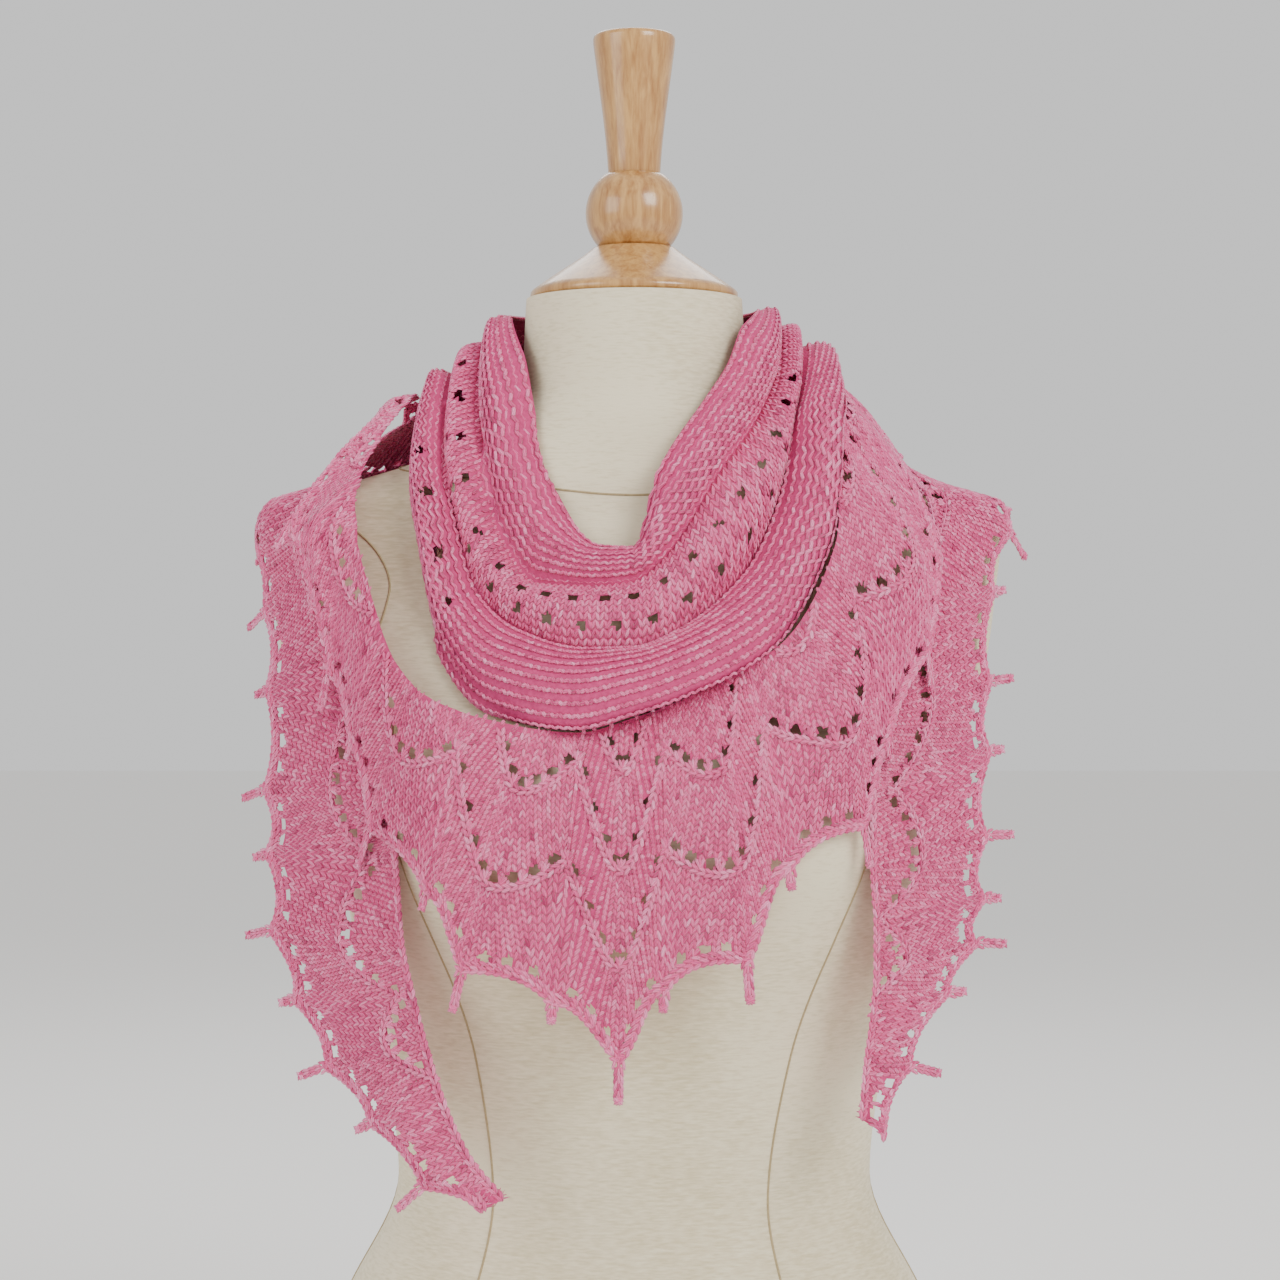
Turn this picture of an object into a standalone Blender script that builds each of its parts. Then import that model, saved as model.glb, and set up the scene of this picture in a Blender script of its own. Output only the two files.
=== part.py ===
"""Hand-knit lace shawl worn as a kerchief on a limbless dress form.

Units are metres, +Z is up, and the front of the form faces -Y. The origin is the middle of the
form's flat underside. Azimuth is counted in degrees from the front, positive towards +X.
The shawl's stretches are walls laid on one drape: the form's outside, bridged from the neck to
the shoulders and hung straight down below the shoulders and the bust.
"""
import bmesh
import bpy
import numpy as np
from math import cos, pi, radians, sin

MM = 0.001

# Dress form, one row for each section
FORM_ROWS = [
    dict(height=0.000, half_width=0.172, front=0.115, back=0.122, power=2.3),
    dict(height=0.060, half_width=0.171, front=0.114, back=0.122, power=2.3),
    dict(height=0.130, half_width=0.152, front=0.104, back=0.108, power=2.3),
    dict(height=0.200, half_width=0.122, front=0.087, back=0.082, power=2.2),
    dict(height=0.270, half_width=0.131, front=0.098, back=0.086, power=2.2),
    dict(height=0.330, half_width=0.146, front=0.116, back=0.095, power=2.2),
    dict(height=0.380, half_width=0.155, front=0.126, back=0.103, power=2.2),
    dict(height=0.430, half_width=0.168, front=0.117, back=0.108, power=2.2),
    dict(height=0.465, half_width=0.182, front=0.101, back=0.105, power=2.3),
    dict(height=0.500, half_width=0.187, front=0.079, back=0.096, power=2.3),
    dict(height=0.528, half_width=0.190, front=0.066, back=0.083, power=2.2),
    dict(height=0.543, half_width=0.186, front=0.060, back=0.073, power=2.1),
    dict(height=0.556, half_width=0.150, front=0.060, back=0.066, power=2.0),
    dict(height=0.570, half_width=0.106, front=0.059, back=0.061, power=2.0),
    dict(height=0.586, half_width=0.073, front=0.059, back=0.059, power=2.0),
    dict(height=0.605, half_width=0.059, front=0.057, back=0.057, power=2.0),
    dict(height=0.652, half_width=0.056, front=0.056, back=0.056, power=2.0),
]
FORM_SIDES = 36
FORM_STEP = 0.030
BUST = dict(azimuth=31.0, height=0.385, rise=0.019, spread=21.0, reach=0.052)

# Neck cap and finial, turned in beech
WOOD_GAP = 0.0003
CAP_ROWS = [
    dict(radius=0.0535, above_neck=0.0003),
    dict(radius=0.0540, above_neck=0.0043),
    dict(radius=0.0440, above_neck=0.0110),
    dict(radius=0.0290, above_neck=0.0210),
    dict(radius=0.0215, above_neck=0.0270),
]
BALL_RADIUS = 0.0253
BALL_HEIGHT = 0.697
FINIAL_ROWS = [
    dict(radius=0.0133, height=0.7170),
    dict(radius=0.0150, height=0.7360),
    dict(radius=0.0180, height=0.7600),
    dict(radius=0.0207, height=0.7800),
    dict(radius=0.0214, height=0.7870),
    dict(radius=0.0203, height=0.7900),
]
TURNED_SIDES = 24

# Cloth
WALL = 0.0020
GARTER_WALL = 0.0026
SEAM = 0.0003
UNDER_LIFT = 0.0019        # middle of the wall of a stretch that lies on the form
OVER_LIFT = 0.0066         # middle of the wall of a stretch that lies on another

# Drape between the neck and the shoulders, a straight slope for each azimuth
DRAPE_START = dict(radius=0.066, height=0.640)
DRAPE_SLOPE = dict(front=0.27, right=0.90, left=1.02, back=0.42, power=3)
SHOULDER_EASE = dict(rise=0.0042, height=0.540, reach=0.022, spread=42)

# Bounds of the folds round the neck, heights and radii in millimetres
FOLD_ROWS = [
    dict(azimuth=-180, edge_r=58, edge_z=643, first_r=79, first_z=632, second_r=93, second_z=612, low_r=114, low_z=588),
    dict(azimuth=-135, edge_r=61, edge_z=645, first_r=76, first_z=634, second_r=91, second_z=614, low_r=111, low_z=593),
    dict(azimuth=-90, edge_r=63, edge_z=643, first_r=75, first_z=630, second_r=91, second_z=611, low_r=104, low_z=601),
    dict(azimuth=-60, edge_r=65, edge_z=622, first_r=87, first_z=572, second_r=106, second_z=548, low_r=126, low_z=535),
    dict(azimuth=-45, edge_r=68, edge_z=584, first_r=91, first_z=527, second_r=108, second_z=500, low_r=130, low_z=468),
    dict(azimuth=-30, edge_r=72, edge_z=545, first_r=92, first_z=503, second_r=110, second_z=481, low_r=134, low_z=441),
    dict(azimuth=-12, edge_r=78, edge_z=522, first_r=92, first_z=502, second_r=111, second_z=472, low_r=136, low_z=434),
    dict(azimuth=0, edge_r=79, edge_z=521, first_r=92, first_z=504, second_r=111, second_z=472, low_r=136, low_z=441),
    dict(azimuth=10, edge_r=75, edge_z=562, first_r=90, first_z=516, second_r=110, second_z=479, low_r=136, low_z=449),
    dict(azimuth=30, edge_r=69, edge_z=595, first_r=86, first_z=559, second_r=106, second_z=508, low_r=135, low_z=473),
    dict(azimuth=45, edge_r=66, edge_z=614, first_r=83, first_z=581, second_r=100, second_z=545, low_r=134, low_z=520),
    dict(azimuth=60, edge_r=64, edge_z=636, first_r=80, first_z=602, second_r=92, second_z=587, low_r=121, low_z=587),
    dict(azimuth=90, edge_r=63, edge_z=646, first_r=73, first_z=637, second_r=84, second_z=627, low_r=104, low_z=611),
    dict(azimuth=135, edge_r=61, edge_z=646, first_r=76, first_z=635, second_r=91, second_z=616, low_r=111, low_z=595),
    dict(azimuth=180, edge_r=58, edge_z=643, first_r=79, first_z=632, second_r=93, second_z=612, low_r=114, low_z=588),
]
FOLD_BULGE = dict(neck=0.008, second=0.009, roll=0.012)
HALF_GAP = 0.32            # degrees from the side seam to the end of each half
VALLEY_GAP = 0.0019        # from a valley's line to the end of the fold on either side
NAPE_GAP = 0.72
FORM_CLEAR = 0.0038
ROLL_SEAT_LIFT = 0.0012
ROLL_SEAT_EASE = 2.0
TOP_SETBACK = 0.0046
WING_SETBACK = 0.0025

# Bib and its wings: hem height and extra lift in millimetres
BIB_REACH = 97.0
BIB_HEM_ROWS = [
    dict(azimuth=-97, height=591, lift=5), dict(azimuth=-88, height=593, lift=6),
    dict(azimuth=-76, height=570, lift=6), dict(azimuth=-68, height=527, lift=7),
    dict(azimuth=-64, height=497, lift=6), dict(azimuth=-60, height=452, lift=4),
    dict(azimuth=-55, height=398, lift=2), dict(azimuth=-51, height=388, lift=1),
    dict(azimuth=-44, height=371, lift=1), dict(azimuth=-38, height=357, lift=1),
    dict(azimuth=-33, height=328, lift=2), dict(azimuth=-30, height=317, lift=2),
    dict(azimuth=-24, height=317, lift=2), dict(azimuth=-15.5, height=302, lift=2),
    dict(azimuth=-9, height=298, lift=2), dict(azimuth=-5, height=281, lift=2),
    dict(azimuth=-2.5, height=272, lift=2), dict(azimuth=0.5, height=286, lift=2),
    dict(azimuth=5, height=306, lift=2), dict(azimuth=10, height=320, lift=2),
    dict(azimuth=17, height=323, lift=2), dict(azimuth=21.5, height=322, lift=2),
    dict(azimuth=24, height=352, lift=2), dict(azimuth=28, height=366, lift=2),
    dict(azimuth=34, height=379, lift=2), dict(azimuth=42, height=386, lift=1),
    dict(azimuth=46, height=402, lift=1), dict(azimuth=50, height=432, lift=1),
    dict(azimuth=58, height=462, lift=2), dict(azimuth=65, height=520, lift=2),
    dict(azimuth=72, height=556, lift=1), dict(azimuth=84, height=572, lift=0),
    dict(azimuth=97, height=570, lift=0),
]
PICOT_LONG = 0.018
PICOT_SHORT = 0.007
BIB_PICOTS = [
    dict(azimuth=-53, length=PICOT_LONG), dict(azimuth=-38, length=PICOT_SHORT),
    dict(azimuth=-31.5, length=PICOT_LONG), dict(azimuth=-15.5, length=PICOT_SHORT),
    dict(azimuth=-3, length=0.012), dict(azimuth=6, length=PICOT_SHORT),
    dict(azimuth=20.5, length=PICOT_LONG), dict(azimuth=28, length=PICOT_SHORT),
    dict(azimuth=43, length=PICOT_LONG), dict(azimuth=58, length=PICOT_LONG),
    dict(azimuth=68, length=PICOT_SHORT), dict(azimuth=-60, length=PICOT_LONG),
    dict(azimuth=-70, length=PICOT_LONG), dict(azimuth=-90, length=0.012),
]

# Tails: inner edge and hem, heights and lifts in millimetres
LEFT_TAIL_ROWS = [
    dict(inner_az=-97, inner_z=587, hem_az=-97, hem_z=541, lift=0),
    dict(inner_az=-78, inner_z=572, hem_az=-89, hem_z=520, lift=1),
    dict(inner_az=-66, inner_z=515, hem_az=-83, hem_z=472, lift=4),
    dict(inner_az=-56, inner_z=445, hem_az=-79, hem_z=425, lift=9),
    dict(inner_az=-48, inner_z=385, hem_az=-76, hem_z=370, lift=13),
    dict(inner_az=-45, inner_z=330, hem_az=-73, hem_z=320, lift=14),
    dict(inner_az=-40, inner_z=290, hem_az=-66, hem_z=285, lift=11),
    dict(inner_az=-34, inner_z=252, hem_az=-54, hem_z=253, lift=8),
    dict(inner_az=-27, inner_z=218, hem_az=-38, hem_z=214, lift=6),
    dict(inner_az=-23, inner_z=206, hem_az=-28, hem_z=201, lift=6),
]
RIGHT_TAIL_ROWS = [
    dict(inner_az=97, inner_z=584, hem_az=97, hem_z=551, lift=0),
    dict(inner_az=78, inner_z=572, hem_az=88, hem_z=527, lift=1),
    dict(inner_az=64, inner_z=515, hem_az=78, hem_z=485, lift=3),
    dict(inner_az=52, inner_z=445, hem_az=74, hem_z=437, lift=8),
    dict(inner_az=47, inner_z=385, hem_az=72, hem_z=385, lift=12),
    dict(inner_az=48, inner_z=330, hem_az=70, hem_z=332, lift=12),
    dict(inner_az=46, inner_z=285, hem_az=61, hem_z=292, lift=9),
    dict(inner_az=43, inner_z=249, hem_az=53, hem_z=254, lift=7),
    dict(inner_az=44, inner_z=230, hem_az=48, hem_z=232, lift=6),
]
TAIL_HEM_SCALLOP = 0.007
TAIL_SCALLOPS = 5

# Wings behind the shoulders; each rail's height in millimetres
RIGHT_WING_ROWS = [
    dict(azimuth=97, top_z=0, hem_z=570, over=1.0), dict(azimuth=120, top_z=0, hem_z=548, over=1.0),
    dict(azimuth=135, top_z=0, hem_z=539, over=1.0), dict(azimuth=150, top_z=0, hem_z=531, over=0.5),
    dict(azimuth=165, top_z=0, hem_z=523, over=0.0), dict(azimuth=180, top_z=0, hem_z=513, over=0.0),
    dict(azimuth=200, top_z=0, hem_z=486, over=0.0), dict(azimuth=220, top_z=0, hem_z=466, over=0.0),
    dict(azimuth=240, top_z=0, hem_z=496, over=0.0), dict(azimuth=263, top_z=0, hem_z=541, over=0.0),
]
LEFT_WING_ROWS = [
    dict(azimuth=263, top_z=0, hem_z=591, over=1.0), dict(azimuth=245, top_z=0, hem_z=560, over=1.0),
    dict(azimuth=220, top_z=0, hem_z=506, over=1.0), dict(azimuth=200, top_z=572, hem_z=466, over=1.0),
    dict(azimuth=180, top_z=548, hem_z=430, over=1.0), dict(azimuth=165, top_z=527, hem_z=421, over=1.0),
    dict(azimuth=150, top_z=510, hem_z=425, over=0.6), dict(azimuth=135, top_z=508, hem_z=446, over=0.2),
    dict(azimuth=120, top_z=530, hem_z=482, over=0.0), dict(azimuth=97, top_z=584, hem_z=551, over=0.0),
]

LINEN = (0.74, 0.67, 0.50, 1)
BEECH = (0.44, 0.20, 0.05, 1)
PINK = (0.80, 0.09, 0.27, 1)


def clear_scene():
    for thing in list(bpy.data.objects):
        bpy.data.objects.remove(thing, do_unlink=True)


def make_material(name, colour, roughness):
    material = bpy.data.materials.new(name)
    material.use_nodes = True
    shader = material.node_tree.nodes["Principled BSDF"]
    shader.inputs["Base Color"].default_value = colour
    shader.inputs["Roughness"].default_value = roughness
    shader.inputs["Metallic"].default_value = 0.0
    return material


def smooth_curve(rows, key, value):
    """A monotone cubic through one column of a table, as a function of another column."""
    order = sorted(rows, key=lambda row: row[key])
    xs = np.array([row[key] for row in order], float)
    ys = np.array([row[value] for row in order], float)
    steps = np.diff(xs)
    slopes = np.diff(ys) / steps
    tangents = np.zeros(len(xs))
    tangents[0] = slopes[0]
    tangents[-1] = slopes[-1]
    for i in range(1, len(xs) - 1):
        if slopes[i - 1] * slopes[i] > 0:
            tangents[i] = 2 * slopes[i - 1] * slopes[i] / (slopes[i - 1] + slopes[i])

    def at(x):
        i = int(np.clip(np.searchsorted(xs, x) - 1, 0, len(xs) - 2))
        t = min(max((x - xs[i]) / steps[i], 0.0), 1.0)
        return ((1 + 2 * t) * (1 - t) ** 2 * ys[i] + t * (1 - t) ** 2 * steps[i] * tangents[i]
                + t * t * (3 - 2 * t) * ys[i + 1] + t * t * (t - 1) * steps[i] * tangents[i + 1])
    return at


form_half_width = smooth_curve(FORM_ROWS, "height", "half_width")
form_front = smooth_curve(FORM_ROWS, "height", "front")
form_back = smooth_curve(FORM_ROWS, "height", "back")
form_power = smooth_curve(FORM_ROWS, "height", "power")


def form_radius(azimuth, height):
    """Distance of the form's surface from the axis."""
    side = abs(sin(radians(azimuth)))
    depth = cos(radians(azimuth))
    reach = form_front(height) if depth > 0 else form_back(height)
    power = form_power(height)
    radius = ((side / form_half_width(height)) ** power + (abs(depth) / reach) ** power) ** (-1 / power)
    off_side = (abs((azimuth + 180) % 360 - 180) - BUST["azimuth"]) / BUST["spread"]
    off_height = (height - BUST["height"]) / BUST["reach"]
    return radius + BUST["rise"] * np.exp(-off_side ** 2 - off_height ** 2)


def drape_slope(azimuth):
    side = sin(radians(azimuth))
    base = DRAPE_SLOPE["front"] if cos(radians(azimuth)) > 0 else DRAPE_SLOPE["back"]
    base += (DRAPE_SLOPE["front"] + DRAPE_SLOPE["back"] - 2 * base) / 2 * abs(side)
    shoulder = DRAPE_SLOPE["right"] if side > 0 else DRAPE_SLOPE["left"]
    return base + (shoulder - base) * abs(side) ** DRAPE_SLOPE["power"]


# The drape as a table: radius and arc length down each meridian
AZIMUTH_STEP = 3
AZIMUTHS = np.arange(-180, 181, AZIMUTH_STEP)
HEIGHTS = np.linspace(0.652, 0.15, 168)


def drape_table():
    radii = np.zeros((len(AZIMUTHS), len(HEIGHTS)))
    for i, azimuth in enumerate(AZIMUTHS):
        form = np.array([form_radius(azimuth, h) for h in HEIGHTS])
        widest = form[HEIGHTS > 0.36].max()
        bridge = DRAPE_START["radius"] + (DRAPE_START["height"] - HEIGHTS) * drape_slope(azimuth)
        radii[i] = np.maximum.accumulate(np.maximum(form, np.minimum(bridge, widest)))
        near_side = np.exp(-((abs(azimuth) - 90) / SHOULDER_EASE["spread"]) ** 2)
        near_tip = np.exp(-((HEIGHTS - SHOULDER_EASE["height"]) / SHOULDER_EASE["reach"]) ** 2)
        radii[i] += SHOULDER_EASE["rise"] * near_side * near_tip
    softened = radii.copy()
    for _ in range(2):
        padded = np.pad(softened, ((0, 0), (3, 3)), mode="edge")
        softened = sum(padded[:, k:k + len(HEIGHTS)] for k in range(7)) / 7
        wrapped = np.vstack([softened[-3:-1], softened, softened[1:3]])
        softened = sum(wrapped[k:k + len(AZIMUTHS)] for k in range(5)) / 5
        softened = np.maximum(softened, radii)
    lengths = np.hypot(np.diff(softened, axis=1), np.diff(HEIGHTS)[None, :])
    drops = np.hstack([np.zeros((len(AZIMUTHS), 1)), np.cumsum(lengths, axis=1)])
    return softened, drops


DRAPE_RADII, DRAPE_DROPS = drape_table()


def wrap(azimuth):
    return (azimuth + 180) % 360 - 180


def along(table_from, table_to, azimuth, value, falling=False):
    """Reads one drape table against another, blended between the two nearest meridians."""
    place = (wrap(azimuth) + 180) / AZIMUTH_STEP
    low = min(int(place), len(AZIMUTHS) - 2)
    share = place - low
    results = []
    for i in (low, low + 1):
        xs = table_from[i] if table_from.ndim == 2 else table_from
        ys = table_to[i] if table_to.ndim == 2 else table_to
        if falling:
            xs, ys = xs[::-1], ys[::-1]
        results.append(np.interp(value, xs, ys))
    return results[0] * (1 - share) + results[1] * share


def drop_at(azimuth, height):
    return along(HEIGHTS, DRAPE_DROPS, azimuth, height, falling=True)


def drape_point(azimuth, drop, lift):
    """The point at an azimuth and an arc length down the drape, lifted along its normal."""
    height = along(DRAPE_DROPS, HEIGHTS, azimuth, drop)
    radius = along(DRAPE_DROPS, DRAPE_RADII, azimuth, drop)
    near = 0.006
    above = along(DRAPE_DROPS, DRAPE_RADII, azimuth, max(drop - near, 0))
    below = along(DRAPE_DROPS, DRAPE_RADII, azimuth, drop + near)
    top = along(DRAPE_DROPS, HEIGHTS, azimuth, max(drop - near, 0))
    bottom = along(DRAPE_DROPS, HEIGHTS, azimuth, drop + near)
    run = np.hypot(below - above, top - bottom)
    radius += lift * (top - bottom) / run
    height += lift * (below - above) / run
    return polar(azimuth, radius, height)


def polar(azimuth, radius, height):
    return (radius * sin(radians(azimuth)), -radius * cos(radians(azimuth)), height)


def add_object(name, mesh, material, collection):
    thing = bpy.data.objects.new(name, mesh)
    mesh.materials.append(material)
    collection.objects.link(thing)
    return thing


def grid_mesh(name, points, holes=(), picots=()):
    """A wall's middle surface: rows of points, with cells left out and picots on the last row."""
    mesh = bpy.data.meshes.new(name)
    shape = bmesh.new()
    rows = [[shape.verts.new(p) for p in row] for row in points]
    for i in range(len(rows) - 1):
        for j in range(len(rows[0]) - 1):
            if (i, j) not in holes:
                shape.faces.new((rows[i][j], rows[i + 1][j], rows[i + 1][j + 1], rows[i][j + 1]))
    for column, tips in picots:
        left = rows[-1][column]
        right = rows[-1][column + 1]
        for tip_left, tip_right in tips:
            next_left = shape.verts.new(tip_left)
            next_right = shape.verts.new(tip_right)
            shape.faces.new((left, next_left, next_right, right))
            left, right = next_left, next_right
    loose = [v for v in shape.verts if not v.link_faces]
    bmesh.ops.delete(shape, geom=loose, context="VERTS")
    bmesh.ops.recalc_face_normals(shape, faces=shape.faces)
    shape.to_mesh(mesh)
    shape.free()
    mesh.shade_smooth()
    return mesh


def cloth(name, points, wall, collection, material, holes=(), picots=()):
    mesh = grid_mesh(name, points, holes, picots)
    thing = add_object(name, mesh, material, collection)
    solid = thing.modifiers.new("Wall", "SOLIDIFY")
    solid.thickness = wall
    solid.offset = 0
    solid.use_even_offset = True
    return thing


def build_form(collection, material):
    """The torso: a loft of sections with a flat underside."""
    mesh = bpy.data.meshes.new("dress_form")
    shape = bmesh.new()
    count = int(FORM_ROWS[-1]["height"] / FORM_STEP)
    heights = sorted(set([round(i * FORM_STEP, 4) for i in range(count)]
                         + [row["height"] for row in FORM_ROWS if row["height"] > 0.5]))
    heights = [h for i, h in enumerate(heights)
               if i in (0, len(heights) - 1) or h > 0.52 or h < 0.5 and heights[i + 1] - h > 0.012]
    rings = []
    for height in heights:
        azimuths = [360 * k / FORM_SIDES for k in range(FORM_SIDES)]
        rings.append([shape.verts.new(polar(a, form_radius(a, height), height)) for a in azimuths])
    for low, high in zip(rings[:-1], rings[1:]):
        for k in range(FORM_SIDES):
            n = (k + 1) % FORM_SIDES
            shape.faces.new((low[k], low[n], high[n], high[k]))
    shape.faces.new(rings[0][::-1])
    shape.faces.new(rings[-1])
    bmesh.ops.recalc_face_normals(shape, faces=shape.faces)
    shape.to_mesh(mesh)
    shape.free()
    mesh.shade_smooth()
    mesh.set_sharp_from_angle(angle=radians(50))
    return add_object("dress_form", mesh, material, collection)


def turned(name, profile, collection, material):
    """A turned piece: a profile from the axis out, up its outer side and back to the axis."""
    mesh = bpy.data.meshes.new(name)
    mesh.from_pydata([(r, 0, z) for r, z in profile], [(i, i + 1) for i in range(len(profile) - 1)], [])
    thing = add_object(name, mesh, material, collection)
    screw = thing.modifiers.new("Turn", "SCREW")
    screw.steps = TURNED_SIDES
    screw.render_steps = TURNED_SIDES
    screw.use_merge_vertices = True
    screw.merge_threshold = 0.0001
    screw.use_normal_calculate = True
    return thing


def build_wood(collection, material):
    neck_top = FORM_ROWS[-1]["height"]
    cap = [(row["radius"], neck_top + row["above_neck"]) for row in CAP_ROWS]
    cap = [(0, cap[0][1])] + cap + [(0, cap[-1][1])]
    turned("neck_cap", cap[::-1], collection, material)
    seat = cap[-1][1] + WOOD_GAP
    low = seat - BALL_HEIGHT
    high = FINIAL_ROWS[0]["height"] - BALL_HEIGHT
    start = np.arcsin(low / BALL_RADIUS)
    end = np.arcsin(high / BALL_RADIUS)
    ball = [(BALL_RADIUS * cos(t), BALL_HEIGHT + BALL_RADIUS * sin(t)) for t in np.linspace(start, end, 9)]
    finial = [(row["radius"], row["height"]) for row in FINIAL_ROWS[1:]]
    profile = [(0, seat)] + ball + finial + [(0, FINIAL_ROWS[-1]["height"])]
    turned("finial", profile[::-1], collection, material)


def fold_rail(name):
    radius = smooth_curve(FOLD_ROWS, "azimuth", name + "_r")
    height = smooth_curve(FOLD_ROWS, "azimuth", name + "_z")
    return lambda azimuth: np.array([radius(azimuth) * MM, height(azimuth) * MM])


edge_rail = fold_rail("edge")
first_rail = fold_rail("first")
second_rail = fold_rail("second")
low_rail = fold_rail("low")


def top_drop(azimuth):
    """Where the bib and the wings start, just under the roll's low bound."""
    radius, height = low_rail(wrap(azimuth))
    return drop_at(azimuth, height - 0.003) + TOP_SETBACK * climb(low_rail, wrap(azimuth))


def start_lift(azimuth):
    """Lift of the top edge: on the form at the front, over the tails at the shoulders."""
    return UNDER_LIFT + (OVER_LIFT - UNDER_LIFT) * over_front(azimuth)


def over_front(azimuth):
    return float(np.clip((abs(wrap(azimuth)) - 22) / 16, 0, 1))


def climb(rail, azimuth):
    """How much longer than level a bound runs where it climbs with the azimuth."""
    low, high = rail(max(azimuth - 3, -180)), rail(min(azimuth + 3, 180))
    return float(np.hypot(1, (high[1] - low[1]) / (radians(6) * rail(azimuth)[0])))


def arc_rows(start, end, bulge, count):
    """Points from one bound to the next in the meridian plane, bulged outwards."""
    chord = end - start
    normal = np.array([-chord[1], chord[0]]) / np.hypot(*chord)
    return [start + chord * t + normal * bulge * sin(pi * t) for t in np.linspace(0, 1, count)]


def clear_of_form(azimuth, point):
    return np.array([max(point[0], form_radius(azimuth, point[1] - FORM_CLEAR) + FORM_CLEAR), point[1]])


def fold_section(azimuth, start_rail, end_rail, bulge, count):
    """One fold's section, its ends drawn back from the valleys that it shares."""
    start, end = start_rail(azimuth), end_rail(azimuth)
    slope = (end - start) / np.hypot(*(end - start))
    gap = VALLEY_GAP * (NAPE_GAP if abs(azimuth) > 90 else 1)
    if start_rail is not edge_rail:
        start = start + slope * gap * climb(start_rail, azimuth)
    if end_rail is not low_rail:
        end = end - slope * gap * climb(end_rail, azimuth)
    return [clear_of_form(azimuth, point) for point in arc_rows(start, end, bulge, count)]


def fold_grid(azimuths, start_rail, end_rail, bulge, count):
    columns = []
    for azimuth in azimuths:
        section = fold_section(wrap(azimuth), start_rail, end_rail, bulge, count)
        columns.append([polar(azimuth, r, z) for r, z in section])
    return [list(row) for row in zip(*columns)]


def roll_grid(azimuths, count):
    columns = []
    for azimuth in azimuths:
        near = wrap(azimuth)
        section = fold_section(near, second_rail, low_rail, FOLD_BULGE["roll"], count)
        points = [polar(azimuth, r, z) for r, z in section]
        seat = top_drop(azimuth) - (GARTER_WALL / 2 + SEAM) * ROLL_SEAT_EASE * climb(low_rail, near)
        points.append(drape_point(azimuth, seat, start_lift(azimuth) + ROLL_SEAT_LIFT))
        columns.append(points)
    return [list(row) for row in zip(*columns)]


def apart(cells):
    """Keeps the cells that touch no earlier one, not even at a corner."""
    kept = []
    for cell in cells:
        if all(max(abs(cell[0] - k[0]), abs(cell[1] - k[1])) > 1 for k in kept):
            kept.append(cell)
    return set(kept)


def build_folds(collection, material):
    halves = dict(front=np.linspace(-90 + HALF_GAP, 90 - HALF_GAP, 37),
                  back=np.linspace(90 + HALF_GAP, 270 - HALF_GAP, 22))
    for side, azimuths in halves.items():
        neck = fold_grid(azimuths, edge_rail, first_rail, FOLD_BULGE["neck"], 5)
        cloth("neck_fold_" + side, neck, GARTER_WALL, collection, material)
        second = fold_grid(azimuths, first_rail, second_rail, FOLD_BULGE["second"], 6)
        holes = apart([(2 + k % 2, 4 + 3 * k) for k in range(12)]) if side == "front" else ()
        cloth("second_fold_" + side, second, WALL, collection, material, holes)
        roll = roll_grid(azimuths, 7)
        holes = apart([(2, 3), (3, 5), (2, 7)]) if side == "front" else ()
        cloth("roll_" + side, roll, WALL, collection, material, holes)


def picot_tips(corner_left, corner_right, inner_left, inner_right, length):
    """Two steps out from a hem edge, in the cloth's own direction, narrowing to the knot."""
    left, right = np.array(corner_left), np.array(corner_right)
    out = (left + right) / 2 - (np.array(inner_left) + np.array(inner_right)) / 2
    out /= np.linalg.norm(out)
    middle = (left + right) / 2
    half = (right - left) / 2
    half /= np.linalg.norm(half)
    steps = [(0.55, 0.0030), (1.0, 0.0036)]
    return [(tuple(middle + out * length * f - half * w), tuple(middle + out * length * f + half * w))
            for f, w in steps]


def add_picots(grid, wanted):
    """wanted: pairs of column and length; a column takes one picot only."""
    result = []
    used = set()
    for column, length in wanted:
        if column in used:
            continue
        used.add(column)
        last, before = grid[-1], grid[-2]
        tips = picot_tips(last[column], last[column + 1], before[column], before[column + 1], length)
        result.append((column, tips))
    return result


# Arcs of eyelets on the bib: centre azimuth and height, half width and depth in millimetres
BIB_ARCS = [
    dict(azimuth=-5.5, height=411, half=15, depth=23, start=200, end=340, count=5),
    dict(azimuth=-5.5, height=385, half=38, depth=43, start=184, end=356, count=10),
    dict(azimuth=-22, height=440, half=37, depth=46, start=180, end=262, count=6),
    dict(azimuth=12, height=445, half=41, depth=50, start=278, end=360, count=6),
    dict(azimuth=-40, height=440, half=22, depth=52, start=190, end=262, count=5),
    dict(azimuth=34, height=455, half=22, depth=50, start=278, end=350, count=5),
    dict(azimuth=-50, height=520, half=16, depth=40, start=190, end=345, count=6),
    dict(azimuth=52, height=540, half=16, depth=40, start=195, end=350, count=6),
    dict(azimuth=-22, height=372, half=28, depth=34, start=200, end=300, count=4),
    dict(azimuth=14, height=380, half=28, depth=34, start=240, end=340, count=4),
]
DRAPE_MEAN_RADIUS = 0.150


def nearest_cell(grid, azimuth, height, margin):
    target = drape_point(azimuth, drop_at(azimuth, height), UNDER_LIFT)
    centres = (np.array(grid)[:-1, :-1] + np.array(grid)[1:, 1:]) / 2
    gaps = np.linalg.norm(centres - np.array(target), axis=2)
    i, j = np.unravel_index(gaps.argmin(), gaps.shape)
    inside = margin <= i < gaps.shape[0] - margin and margin <= j < gaps.shape[1] - margin
    return (int(i), int(j)) if inside and gaps[i, j] < 0.008 else None


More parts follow.
